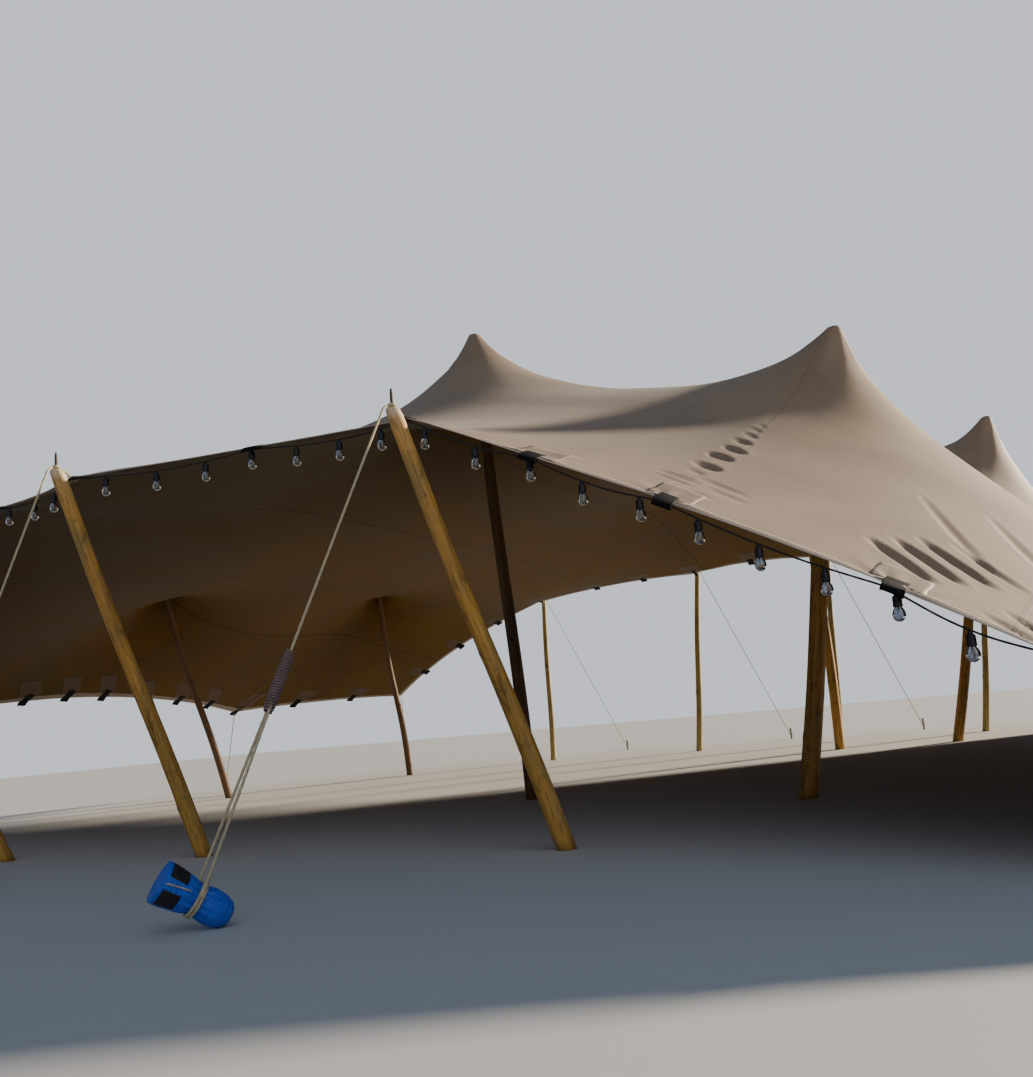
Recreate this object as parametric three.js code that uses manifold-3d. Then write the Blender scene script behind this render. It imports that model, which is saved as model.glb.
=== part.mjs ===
// Stretch tent: one elastic sheet over timber poles, guyed to pegs, with a string of lamps on its front hem.
// Millimetres, +Z up, -Y is the front. It is laid out about the middle of the flat sheet, and at the end the whole
// is moved in plan, so that the origin is the middle of the plan box, on the ground.
import * as THREE from 'three';
import { mergeVertices } from 'three/addons/utils/BufferGeometryUtils.js';
import Module from 'manifold-3d';

const wasm = await Module();
wasm.setup();

// Driving dimensions
const SHEET_THICKNESS = 10;
const SHEET_LEFT = -6200;
const SHEET_RIGHT = 6000;
const SHEET_FRONT = -5000;
const SHEET_BACK = 5300;
const WIDEST_CELL = 640;
const START_HEIGHT = 1500;
const GAP = 0.3;
const CAP_REACH = 55;
const CAP_SHOULDER = 190;

// How hard each stretch of hem and each pole head pulls, in millimetres of sheet width that pull alike.
const HEM_TENSION = { front: 2400, frontRight: 9000, left: 14000, rearLeft: 9000, rear: 3600, right: 6000 };
const HEAD_TENSION = 270;

const ROPE_RADIUS = 6;
const SPIKE_RADIUS = 8;
const SPIKE_HEIGHT = 95;
const SPIKE_ROOT = 10;
const EYE_REACH = 90;
const EYE_DROP = 25;
const LOOP_SLACK = 1;

const PEG_RADIUS = 13;
const PEG_HEIGHT = 150;
const PEG_HEAD_RADIUS = 22;
const PEG_HEAD_HEIGHT = 14;
const TIE_HEIGHT_ON_PEG = 70;

const ANCHOR_TILT = THREE.MathUtils.degToRad(33);
const ANCHOR_SWING = THREE.MathUtils.degToRad(-28);
const ANCHOR_LIFT = 42;
const ANCHOR_LENGTH = 250;
const ANCHOR_NOSE = -25;
const ANCHOR_WAIST = 108;
const ANCHOR_WAIST_RADIUS = 54;
const ANCHOR_WAIST_HALF = 12;
const ANCHOR_SIDES = 12;
const BLOCK_RADIUS = 26;
const BLOCK_LENGTH = 260;
const BLOCK_PLACE = 0.57;

const LAMP_SPACING = 280;
const LAMP_CABLE_RADIUS = 4;
const LAMP_CABLE_GAP = 0.5;
const LAMP_CABLE_OUTWARD = 2;
const LAMP_HOLDER_RADIUS = 16;
const LAMP_HOLDER_LENGTH = 50;
const BULB_RADIUS = 23;
const BULB_LENGTH = 55;
const LOWEST_LAMP = 480;

// Where the sheet is held: u and v name the line of the sheet, head, foot, peg and hold are places.
const KING_POLES = [
  { name: 'king_pole_1', u: 530, v: -1950, head: [530, -1800, 3600], foot: [450, -1350], radii: [52, 40] },
  { name: 'king_pole_2', u: 3270, v: -1950, head: [3270, -2090, 2850], foot: [2760, -2240], radii: [58, 46] },
  { name: 'king_pole_3', u: 3860, v: 2950, head: [3850, 2710, 3200], foot: [3070, 3080], radii: [55, 42] },
  { name: 'king_pole_4', u: 1660, v: 2950, head: [1950, 2900, 3700], foot: [1900, 3000], radii: [52, 40] },
  { name: 'lift_pole_1', u: -4830, v: -10, head: [-4790, -50, 2450], foot: [-4790, 880], radii: [42, 36] },
  { name: 'lift_pole_2', u: -4100, v: 3140, head: [-4033, 3110, 2510], foot: [-3970, 3470], radii: [42, 36] },
];

const FRONT_POLES = [
  { u: 1660, head: [1730, -4790, 2050], foot: [2090, -4150], peg: [1600, -5830] },
  { u: -200, head: [-240, -5030, 2100], foot: [-240, -4080], peg: [-120, -5860] },
  { u: -2400, head: [-2250, -5000, 2100], foot: [-1960, -4080], peg: [-2350, -5900] },
  { u: -4100, head: [-4250, -4850, 1950], foot: [-4000, -4050], peg: [-4500, -5750] },
];

const REAR_POLES = [
  { u: -2400, head: [-2650, 5400, 2350], foot: [-2530, 5000], peg: [-2100, 6750] },
  { u: -200, head: [-150, 5200, 2400], foot: [-280, 4800], peg: [500, 6600] },
  { u: 1660, head: [1600, 5300, 2360], foot: [1530, 4900], peg: [2300, 6600] },
  { u: 3860, head: [3500, 5300, 2300], foot: [3200, 4900], peg: [4200, 6600] },
];

const FRONT_POLE_RADII = [49, 37];
const REAR_POLE_RADII = [40, 34];

// Low points of the hem, each tied down to its own peg.
const LOW_TIES = [
  { name: 'left_tie_1', u: SHEET_LEFT, v: SHEET_FRONT, hold: [-6200, -4500, 1150], peg: [-7050, -5250] },
  { name: 'left_tie_2', u: SHEET_LEFT, v: -1950, hold: [-6300, -2400, 1150], peg: [-7150, -2500] },
  { name: 'left_tie_3', u: SHEET_LEFT, v: 2950, hold: [-5900, 2200, 1050], peg: [-6350, 2450] },
  { name: 'left_tie_4', u: SHEET_LEFT, v: SHEET_BACK, hold: [-4800, 4600, 1130], peg: [-5400, 5500] },
  { name: 'right_tie_1', u: SHEET_RIGHT, v: SHEET_FRONT, hold: [5020, -5400, 140], peg: [5280, -5630] },
  { name: 'right_tie_2', u: SHEET_RIGHT, v: -1950, hold: [5900, -1700, 140], peg: [6200, -1700] },
  { name: 'right_tie_3', u: SHEET_RIGHT, v: 2950, hold: [5900, 2500, 140], peg: [6200, 2500] },
  { name: 'right_tie_4', u: SHEET_RIGHT, v: SHEET_BACK, hold: [5300, 5300, 140], peg: [5560, 5520] },
];

// Materials
function finish(color, roughness, metalness = 0) {
  return new THREE.MeshStandardMaterial({ color, roughness, metalness });
}

const SHEET_FINISH = finish(0xb39a80, 0.85);
const TIMBER = finish(0x9a6a32, 0.75);
const ROPE = finish(0xd8cdb4, 0.9);
const STEEL = finish(0x8d8f90, 0.45, 0.9);
const BLUE_COVER = finish(0x1450c8, 0.5);
const LAMP_BLACK = finish(0x141416, 0.6);

const tent = new THREE.Group();

function addPiece(name, geometry, material) {
  const piece = new THREE.Mesh(geometry, material);
  piece.name = name;
  tent.add(piece);
  return piece;
}

// Solids
function toSolid(geometry) {
  const bare = geometry.clone();
  bare.deleteAttribute('normal');
  bare.deleteAttribute('uv');
  const merged = mergeVertices(bare, 1e-3);
  return new wasm.Manifold(new wasm.Mesh({
    numProp: 3,
    vertProperties: new Float32Array(merged.attributes.position.array),
    triVerts: new Uint32Array(merged.index.array),
  }));
}

function fromSolid(solid) {
  const mesh = solid.getMesh();
  const geometry = new THREE.BufferGeometry();
  geometry.setAttribute('position', new THREE.BufferAttribute(new Float32Array(mesh.vertProperties), 3));
  geometry.setIndex(new THREE.BufferAttribute(new Uint32Array(mesh.triVerts), 1));
  geometry.computeVertexNormals();
  return geometry;
}

function joined(geometries) {
  const solids = geometries.map(toSolid);
  return fromSolid(solids.reduce((sum, next) => sum.add(next)));
}

// A round rope along a row of points, closed at both ends.
function sweep(points, radius, sides = 6) {
  const positions = [];
  const faces = [];
  const normal = new THREE.Vector3(0.3, 0.2, 1);
  points.forEach((point, k) => {
    const before = points[Math.max(k - 1, 0)];
    const after = points[Math.min(k + 1, points.length - 1)];
    const tangent = point.clone().sub(before).normalize();
    tangent.add(after.clone().sub(point).normalize()).normalize();
    normal.addScaledVector(tangent, -normal.dot(tangent)).normalize();
    const side = tangent.clone().cross(normal);
    for (let n = 0; n < sides; n += 1) {
      const angle = (2 * Math.PI * n) / sides;
      const corner = step(step(point, normal, radius * Math.cos(angle)), side, radius * Math.sin(angle));
      positions.push(corner.x, corner.y, corner.z);
    }
  });
  for (let k = 0; k < points.length - 1; k += 1) {
    for (let n = 0; n < sides; n += 1) {
      const a = k * sides + n;
      const b = k * sides + ((n + 1) % sides);
      faces.push(a, b, b + sides, a, b + sides, a + sides);
    }
  }
  const last = (points.length - 1) * sides;
  for (let n = 1; n < sides - 1; n += 1) faces.push(0, n + 1, n, last, last + n, last + n + 1);
  const geometry = new THREE.BufferGeometry();
  geometry.setAttribute('position', new THREE.Float32BufferAttribute(positions, 3));
  geometry.setIndex(faces);
  return geometry;
}

function lathe(profile, segments = 8) {
  const points = profile.map(([radius, height]) => new THREE.Vector2(radius, height));
  return new THREE.LatheGeometry(points, segments).rotateX(Math.PI / 2);
}

function ring(centre, innerRadius, sides = 10) {
  const geometry = new THREE.TorusGeometry(innerRadius + ROPE_RADIUS, ROPE_RADIUS, 6, sides);
  return geometry.translate(centre.x, centre.y, centre.z);
}

function step(from, direction, length) {
  return from.clone().addScaledVector(direction, length);
}

// The sheet: a net of lines pulled tight between the pole heads, the eyes of the hem and the low ties.
function capLines(value) {
  return [-CAP_SHOULDER, -CAP_REACH, 0, CAP_REACH, CAP_SHOULDER].map((step) => value + step);
}

function gridLines(start, end, caps, plain) {
  const fixed = [start, end, ...plain];
  caps.forEach((value) => fixed.push(...capLines(value)));
  const sorted = [...new Set(fixed)].sort((a, b) => a - b);
  const lines = [sorted[0]];
  for (let i = 1; i < sorted.length; i += 1) {
    const span = sorted[i] - sorted[i - 1];
    const cells = Math.ceil(span / WIDEST_CELL);
    for (let k = 1; k <= cells; k += 1) lines.push(sorted[i - 1] + (span * k) / cells);
  }
  return lines;
}

const capU = [...new Set(KING_POLES.map((pole) => pole.u))];
const capV = [...new Set(KING_POLES.map((pole) => pole.v))];
const edgeU = [...FRONT_POLES, ...REAR_POLES].map((pole) => pole.u).filter((u) => !capU.includes(u));
const linesU = gridLines(SHEET_LEFT, SHEET_RIGHT, capU, [...new Set(edgeU)]);
const linesV = gridLines(SHEET_FRONT, SHEET_BACK, capV, []);
const COLUMNS = linesU.length;
const ROWS = linesV.length;

function nodeIndex(i, j) {
  return j * COLUMNS + i;
}

function nearest(lines, value) {
  let best = 0;
  lines.forEach((line, i) => {
    if (Math.abs(line - value) < Math.abs(lines[best] - value)) best = i;
  });
  return best;
}

const net = Array.from({ length: COLUMNS * ROWS }, (_, n) => {
  const u = linesU[n % COLUMNS];
  const v = linesV[Math.floor(n / COLUMNS)];
  return new THREE.Vector3(u, v, START_HEIGHT);
});
const held = new Uint8Array(net.length);
const firstRightColumn = nearest(linesU, FRONT_POLES[0].u);
const firstRearColumn = nearest(linesU, REAR_POLES[0].u);

function hold(i, j, place) {
  net[nodeIndex(i, j)].copy(place);
  held[nodeIndex(i, j)] = 1;
}

function eyeOf(pole) {
  const head = new THREE.Vector3(...pole.head);
  const inward = new THREE.Vector3(0, -Math.sign(pole.head[1]), 0);
  return head.addScaledVector(inward, EYE_REACH).add(new THREE.Vector3(0, 0, -EYE_DROP));
}

KING_POLES.forEach((pole) => {
  const column = nearest(linesU, pole.u);
  const row = nearest(linesV, pole.v);
  for (let a = -1; a <= 1; a += 1) {
    for (let b = -1; b <= 1; b += 1) {
      const place = new THREE.Vector3(...pole.head);
      place.add(new THREE.Vector3(a * CAP_REACH, b * CAP_REACH, GAP + SHEET_THICKNESS / 2));
      hold(column + a, row + b, place);
    }
  }
});
FRONT_POLES.forEach((pole) => hold(nearest(linesU, pole.u), 0, eyeOf(pole)));
REAR_POLES.forEach((pole) => hold(nearest(linesU, pole.u), ROWS - 1, eyeOf(pole)));
LOW_TIES.forEach((tie) => {
  hold(nearest(linesU, tie.u), nearest(linesV, tie.v), new THREE.Vector3(...tie.hold));
});

function cellSpan(lines, k) {
  const before = k > 0 ? (lines[k] - lines[k - 1]) / 2 : 0;
  const after = k < lines.length - 1 ? (lines[k + 1] - lines[k]) / 2 : 0;
  return before + after;
}

function hemTension(i, j, alongU) {
  if (alongU && j === 0) return i > firstRightColumn ? HEM_TENSION.frontRight : HEM_TENSION.front;
  if (alongU && j === ROWS - 1) return i < firstRearColumn ? HEM_TENSION.rearLeft : HEM_TENSION.rear;
  if (!alongU && i === 0) return HEM_TENSION.left;
  if (!alongU && i === COLUMNS - 1) return HEM_TENSION.right;
  return 0;
}

function headPull(i, j) {
  let extra = 0;
  KING_POLES.forEach((pole) => {
    const distance = Math.hypot(linesU[i] - pole.u, linesV[j] - pole.v);
    extra += HEAD_TENSION / Math.max(distance, CAP_REACH);
  });
  return 1 + extra;
}

function pull(i, j, di, dj) {
  const alongU = di !== 0;
  const lines = alongU ? linesU : linesV;
  const from = alongU ? i : j;
  const length = Math.abs(lines[from + di + dj] - lines[from]);
  const across = alongU ? cellSpan(linesV, j) : cellSpan(linesU, i);
  const hemPull = hemTension(i + di / 2, j + dj / 2, alongU);
  const stretch = (headPull(i, j) + headPull(i + di, j + dj)) / 2;
  return (across * stretch + hemPull) / length;
}

function tighten(rounds, eagerness) {
  const sum = new THREE.Vector3();
  for (let round = 0; round < rounds; round += 1) {
    for (let j = 0; j < ROWS; j += 1) {
      for (let i = 0; i < COLUMNS; i += 1) {
        const here = nodeIndex(i, j);
        if (held[here]) continue;
        let weight = 0;
        sum.set(0, 0, 0);
        for (const [di, dj] of [[1, 0], [-1, 0], [0, 1], [0, -1]]) {
          const inside = i + di >= 0 && i + di < COLUMNS && j + dj >= 0 && j + dj < ROWS;
          if (!inside) continue;
          const strength = pull(i, j, di, dj);
          weight += strength;
          sum.addScaledVector(net[nodeIndex(i + di, j + dj)], strength);
        }
        sum.divideScalar(weight);
        net[here].lerp(sum, eagerness);
      }
    }
  }
}

tighten(900, 1.85);

function netNormal(i, j) {
  const left = net[nodeIndex(Math.max(i - 1, 0), j)];
  const right = net[nodeIndex(Math.min(i + 1, COLUMNS - 1), j)];
  const front = net[nodeIndex(i, Math.max(j - 1, 0))];
  const back = net[nodeIndex(i, Math.min(j + 1, ROWS - 1))];
  const along = right.clone().sub(left);
  const across = back.clone().sub(front);
  return along.cross(across).normalize();
}

function sheetGeometry() {
  const positions = [];
  for (const side of [1, -1]) {
    for (let j = 0; j < ROWS; j += 1) {
      for (let i = 0; i < COLUMNS; i += 1) {
        const point = net[nodeIndex(i, j)].clone();
        point.addScaledVector(netNormal(i, j), (side * SHEET_THICKNESS) / 2);
        positions.push(point.x, point.y, point.z);
      }
    }
  }
  const under = COLUMNS * ROWS;
  const faces = [];
  const quad = (a, b, c, d) => faces.push(a, b, c, a, c, d);
  for (let j = 0; j < ROWS - 1; j += 1) {
    for (let i = 0; i < COLUMNS - 1; i += 1) {
      const corners = [nodeIndex(i, j), nodeIndex(i + 1, j), nodeIndex(i + 1, j + 1), nodeIndex(i, j + 1)];
      quad(...corners);
      quad(...corners.map((n) => n + under).reverse());
    }
  }
  const rim = hemLoop();
  rim.forEach((n, k) => {
    const next = rim[(k + 1) % rim.length];
    quad(n + under, next + under, next, n);
  });
  const geometry = new THREE.BufferGeometry();
  geometry.setAttribute('position', new THREE.Float32BufferAttribute(positions, 3));
  geometry.setIndex(faces);
  geometry.computeVertexNormals();
  return geometry;
}

function hemLoop() {
  const loop = [];
  for (let i = 0; i < COLUMNS - 1; i += 1) loop.push(nodeIndex(i, 0));
  for (let j = 0; j < ROWS - 1; j += 1) loop.push(nodeIndex(COLUMNS - 1, j));
  for (let i = COLUMNS - 1; i > 0; i -= 1) loop.push(nodeIndex(i, ROWS - 1));
  for (let j = ROWS - 1; j > 0; j -= 1) loop.push(nodeIndex(0, j));
  return loop;
}

addPiece('canopy', sheetGeometry(), SHEET_FINISH);

// Timber poles: round sticks cut level at foot and head, a little crooked as they grew.
function stick(foot, head, radii, sides, bend) {
  const height = head[2];
  const shaft = new THREE.CylinderGeometry(radii[1], radii[0], height, sides, 6);
  shaft.rotateX(Math.PI / 2).translate(0, 0, height / 2);
  const place = shaft.attributes.position;
  for (let n = 0; n < place.count; n += 1) {
    const rise = place.getZ(n) / height;
    const sway = bend * Math.sin(rise * Math.PI) * Math.cos(rise * 4);
    place.setX(n, place.getX(n) + foot[0] + (head[0] - foot[0]) * rise + sway);
    place.setY(n, place.getY(n) + foot[1] + (head[1] - foot[1]) * rise + sway / 2);
  }
  return shaft;
}

KING_POLES.forEach((pole, k) => {
  addPiece(pole.name, stick(pole.foot, pole.head, pole.radii, 10, 14 + 4 * k), TIMBER);
});

function edgePole(name, pole, radii) {
  const shaft = stick(pole.foot, pole.head, radii, 10, 12);
  const spike = new THREE.CylinderGeometry(SPIKE_RADIUS * 0.6, SPIKE_RADIUS, SPIKE_HEIGHT + SPIKE_ROOT, 8);
  spike.rotateX(Math.PI / 2);
  spike.translate(pole.head[0], pole.head[1], pole.head[2] + (SPIKE_HEIGHT - SPIKE_ROOT) / 2);
  addPiece(name, joined([shaft, spike]), TIMBER);
}

// Ropes. A loop sits on the spike of the pole. One leg goes over the pole's edge to the eye of the hem, and the
// other over the opposite edge to the ground.
function reachOfHem(i, j, direction) {
  return Math.abs(netNormal(i, j).dot(direction)) * (SHEET_THICKNESS / 2) + 2 * GAP;
}

function overEdge(centre, toward, poleRadius) {
  const out = toward.clone().sub(centre).setZ(0).normalize();
  return [step(centre, out, SPIKE_RADIUS + ROPE_RADIUS), step(centre, out, poleRadius + 2 * ROPE_RADIUS)];
}

function headLoop(pole, row, poleRadius, toward) {
  const centre = new THREE.Vector3(...pole.head);
  centre.z += ROPE_RADIUS + GAP;
  const eye = eyeOf(pole);
  const inner = overEdge(centre, eye, poleRadius);
  const toEye = eye.clone().sub(inner[1]).normalize();
  const eyeEnd = step(eye, toEye, -reachOfHem(nearest(linesU, pole.u), row, toEye));
  const solids = [ring(centre, SPIKE_RADIUS + LOOP_SLACK), sweep([...inner, eyeEnd], ROPE_RADIUS)];
  return { solids, outer: overEdge(centre, toward, poleRadius) };
}

function tiedTo(peg, from) {
  const back = from.clone().sub(peg).setZ(0).normalize();
  return step(peg, back, PEG_RADIUS + ROPE_RADIUS + LOOP_SLACK);
}

function rearGuy(name, pole) {
  const peg = new THREE.Vector3(...pole.peg, TIE_HEIGHT_ON_PEG);
  const { solids, outer } = headLoop(pole, ROWS - 1, REAR_POLE_RADII[1], peg);
  solids.push(sweep([...outer, tiedTo(peg, outer[1])], ROPE_RADIUS), ring(peg, PEG_RADIUS + LOOP_SLACK));
  addPiece(name, joined(solids), ROPE);
}

// The front guys end in a padded cover over a slanted stake. Along the guy sits a wrapped tightening block.
function anchorPose(pole) {
  const foot = new THREE.Vector3(...pole.peg, ANCHOR_LIFT);
  const out = foot.clone().sub(new THREE.Vector3(pole.head[0], pole.head[1], ANCHOR_LIFT)).normalize();
  out.applyAxisAngle(new THREE.Vector3(0, 0, 1), ANCHOR_SWING);
  const axis = out.multiplyScalar(Math.cos(ANCHOR_TILT)).add(new THREE.Vector3(0, 0, Math.sin(ANCHOR_TILT)));
  const turn = new THREE.Quaternion().setFromUnitVectors(new THREE.Vector3(0, 0, 1), axis);
  return { foot, axis, matrix: new THREE.Matrix4().compose(foot, turn, new THREE.Vector3(1, 1, 1)) };
}

function anchorCover(name, pole) {
  const profile = [
    [0, ANCHOR_NOSE],
    [34, ANCHOR_NOSE],
    [54, ANCHOR_NOSE + 21],
    [62, ANCHOR_WAIST - 78],
    [62, ANCHOR_WAIST - 42],
    [ANCHOR_WAIST_RADIUS, ANCHOR_WAIST - ANCHOR_WAIST_HALF],
    [ANCHOR_WAIST_RADIUS, ANCHOR_WAIST + ANCHOR_WAIST_HALF],
    [67, ANCHOR_WAIST + 45],
    [78, ANCHOR_LENGTH],
    [0, ANCHOR_LENGTH],
  ];
  const sleeve = lathe(profile, ANCHOR_SIDES).applyMatrix4(anchorPose(pole).matrix);
  const below = new THREE.BoxGeometry(1000, 1000, 400);
  below.translate(pole.peg[0], pole.peg[1], -200);
  addPiece(name, fromSolid(toSolid(sleeve).subtract(toSolid(below))), BLUE_COVER);
}

function frontGuy(name, pole) {
  const { foot, axis, matrix } = anchorPose(pole);
  const waist = step(foot, axis, ANCHOR_WAIST);
  const { solids, outer } = headLoop(pole, 0, FRONT_POLE_RADII[1], waist);
  const lip = outer[1];
  const along = waist.clone().sub(lip).normalize();
  const aside = axis.clone().cross(along).normalize();
  const reach = ANCHOR_WAIST_RADIUS + ROPE_RADIUS + 2 * GAP;
  const blockTop = lip.clone().lerp(waist, BLOCK_PLACE);
  const blockEnd = step(blockTop, along, BLOCK_LENGTH);
  solids.push(sweep([...outer, step(blockTop, along, ROPE_RADIUS)], ROPE_RADIUS));
  solids.push(sweep([blockTop, blockEnd], BLOCK_RADIUS, 8));
  [-1, 1].forEach((side) => {
    const upper = step(step(blockEnd, along, -ROPE_RADIUS), aside, (side * BLOCK_RADIUS) / 2);
    solids.push(sweep([upper, step(waist, aside, side * reach)], ROPE_RADIUS));
  });
  const waistRing = new THREE.TorusGeometry(reach, ROPE_RADIUS, 6, ANCHOR_SIDES);
  solids.push(waistRing.translate(0, 0, ANCHOR_WAIST).applyMatrix4(matrix));
  addPiece(name, joined(solids), ROPE);
}

function tieRope(name, tie) {
  const start = new THREE.Vector3(...tie.hold);
  const peg = new THREE.Vector3(...tie.peg, TIE_HEIGHT_ON_PEG);
  const finish = tiedTo(peg, start);
  const down = finish.clone().sub(start).normalize();
  const gap = reachOfHem(nearest(linesU, tie.u), nearest(linesV, tie.v), down);
  const leg = sweep([step(start, down, gap), finish], ROPE_RADIUS);
  addPiece(name, joined([leg, ring(peg, PEG_RADIUS + LOOP_SLACK)]), ROPE);
}

function groundPeg(name, place) {
  const profile = [
    [0, 0],
    [PEG_RADIUS, 0],
    [PEG_RADIUS, PEG_HEIGHT - PEG_HEAD_HEIGHT],
    [PEG_HEAD_RADIUS, PEG_HEIGHT - PEG_HEAD_HEIGHT],
    [PEG_HEAD_RADIUS, PEG_HEIGHT],
    [0, PEG_HEIGHT],
  ];
  addPiece(name, lathe(profile).translate(place[0], place[1], 0), STEEL);
}

FRONT_POLES.forEach((pole, k) => {
  edgePole(`front_pole_${k + 1}`, pole, FRONT_POLE_RADII);
  frontGuy(`front_guy_${k + 1}`, pole);
  anchorCover(`front_anchor_${k + 1}`, pole);
});
REAR_POLES.forEach((pole, k) => {
  edgePole(`rear_pole_${k + 1}`, pole, REAR_POLE_RADII);
  rearGuy(`rear_guy_${k + 1}`, pole);
  groundPeg(`rear_peg_${k + 1}`, pole.peg);
});
LOW_TIES.forEach((tie) => {
  tieRope(`${tie.name}_rope`, tie);
  groundPeg(`${tie.name}_peg`, tie.peg);
});

// The lamps hang from a cable that the front hem carries from its first pole to where it comes low.
function lampCable() {
  const points = [];
  const first = nearest(linesU, FRONT_POLES[FRONT_POLES.length - 1].u);
  for (let i = first; i < COLUMNS && net[nodeIndex(i, 0)].z > LOWEST_LAMP; i += 1) {
    const below = netNormal(i, 0).negate();
    const drop = SHEET_THICKNESS / 2 + LAMP_CABLE_RADIUS + LAMP_CABLE_GAP;
    const point = step(net[nodeIndex(i, 0)], below, drop);
    point.y -= LAMP_CABLE_OUTWARD;
    if (held[nodeIndex(i, 0)]) point.z -= ROPE_RADIUS;
    points.push(point);
  }
  return points;
}

function lamp(top) {
  const profile = [
    [0, -LAMP_HOLDER_LENGTH - BULB_LENGTH],
    [BULB_RADIUS, -LAMP_HOLDER_LENGTH - 0.5 * BULB_LENGTH],
    [LAMP_HOLDER_RADIUS, -LAMP_HOLDER_LENGTH],
    [LAMP_HOLDER_RADIUS, -0.3 * LAMP_HOLDER_LENGTH],
    [0, 0.4 * LAMP_CABLE_RADIUS],
  ];
  return lathe(profile, 6).translate(top.x, top.y, top.z);
}

function lampString() {
  const points = lampCable();
  const solids = [sweep(points, LAMP_CABLE_RADIUS)];
  let next = LAMP_SPACING / 2;
  for (let k = 1; k < points.length; k += 1) {
    const length = points[k].distanceTo(points[k - 1]);
    const along = points[k].clone().sub(points[k - 1]).normalize();
    for (; next < length; next += LAMP_SPACING) solids.push(lamp(step(points[k - 1], along, next)));
    next -= length;
  }
  addPiece('string_lights', joined(solids), LAMP_BLACK);
}

lampString();

const middle = new THREE.Box3().setFromObject(tent).getCenter(new THREE.Vector3());
tent.children.forEach((piece) => piece.geometry.translate(-middle.x, -middle.y, 0));

export default tent;
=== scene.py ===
# %% [markdown]
# # A stretch tent, dressed over its own solids
#
# The real thing is one elastic knitted sheet, twelve metres long, thrown over timber poles. Six
# poles push it up from inside, eight lean out under its hem, and ropes pull everything down to
# pegs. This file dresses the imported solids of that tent: the stiff pieces stay where they are,
# and each is replaced by a finer one in the same place. Lengths in the tables are millimetres of
# the tent's own plan; Blender works in metres.

# %% Load the tent's solids
import math
import bpy
import numpy as np
from mathutils import Euler, Matrix, Vector


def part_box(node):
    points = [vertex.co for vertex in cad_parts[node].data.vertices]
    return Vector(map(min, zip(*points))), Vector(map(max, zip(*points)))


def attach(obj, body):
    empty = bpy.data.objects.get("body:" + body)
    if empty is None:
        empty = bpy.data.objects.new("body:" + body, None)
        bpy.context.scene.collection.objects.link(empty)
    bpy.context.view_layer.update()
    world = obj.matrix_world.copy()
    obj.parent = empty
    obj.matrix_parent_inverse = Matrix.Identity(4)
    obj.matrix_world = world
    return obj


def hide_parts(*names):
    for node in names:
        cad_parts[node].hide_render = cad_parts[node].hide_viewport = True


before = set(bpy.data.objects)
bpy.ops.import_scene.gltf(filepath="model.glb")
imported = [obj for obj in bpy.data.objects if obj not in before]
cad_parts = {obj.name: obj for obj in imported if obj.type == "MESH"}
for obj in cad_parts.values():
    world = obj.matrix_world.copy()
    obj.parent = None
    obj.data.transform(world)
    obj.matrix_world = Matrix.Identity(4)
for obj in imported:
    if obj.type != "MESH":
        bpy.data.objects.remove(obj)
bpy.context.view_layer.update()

# %% [markdown]
# ## Where the plan lies
#
# The tables below give places on the ground plan that the tent was laid out on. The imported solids
# stand round the middle of their own box, so one known piece, a ground peg, tells how far the
# plan was moved.

# %% Find the plan from a ground peg
PEG_PLACE = (-7.150, -2.500)
peg_low, peg_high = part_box("left_tie_2_peg")
peg_middle = (peg_low + peg_high) / 2
plan_shift = Vector((peg_middle.x - PEG_PLACE[0], peg_middle.y - PEG_PLACE[1], 0))


def on_plan(x, y, z=0.0):
    return Vector((x, y, z)) / 1000 + plan_shift


print("plan moved by", [round(v, 4) for v in plan_shift])

# %% [markdown]
# ## The camera
#
# The picture was taken from knee height, close to the right-hand end, looking up along the front
# with the camera a little rolled. A camera is best built from its own directions: forward, right
# and up as three plain vectors. They make the columns of its matrix, and no guessing with Euler
# angles is needed.

# %% Set up the camera
CAMERA_PLACE = (4300, -8600, 600)
CAMERA_YAW, CAMERA_PITCH, CAMERA_ROLL = 27.6, 9.9, 5.1
CAMERA_LENS, SENSOR_WIDTH = 34.76, 36
FARTHEST_SEEN = 200


def camera_matrix(place, yaw, pitch, roll):
    yaw, pitch, roll = (math.radians(angle) for angle in (yaw, pitch, roll))
    reach = math.cos(pitch)
    forward = Vector((-math.sin(yaw) * reach, math.cos(yaw) * reach, math.sin(pitch)))
    level = Vector((math.cos(yaw), math.sin(yaw), 0))
    upright = level.cross(forward)
    right = math.cos(roll) * level - math.sin(roll) * upright
    up = math.sin(roll) * level + math.cos(roll) * upright
    turn = Matrix((right, up, -forward)).transposed().to_4x4()
    return Matrix.Translation(place) @ turn


camera_data = bpy.data.cameras.new("camera")
camera_data.lens = CAMERA_LENS
camera_data.sensor_width = SENSOR_WIDTH
camera_data.clip_end = FARTHEST_SEEN
camera = bpy.data.objects.new("camera", camera_data)
camera.matrix_world = camera_matrix(on_plan(*CAMERA_PLACE), CAMERA_YAW, CAMERA_PITCH, CAMERA_ROLL)
bpy.context.scene.collection.objects.link(camera)
bpy.context.scene.camera = camera
print("camera at", [round(v, 3) for v in camera.location])

# %% [markdown]
# ## Light and floor
#
# Low warm light from behind on the right models the peaks: one flank of each is bright and the
# other lies in shade. A sun lamp with a wide angle gives that with soft edges, and a second, weak
# one fills in from the front. The world is cool and dim for the shade, but a camera ray sees a
# plain pale backdrop, and a pale floor sends light up under the sheet, as a studio cove would.

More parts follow.
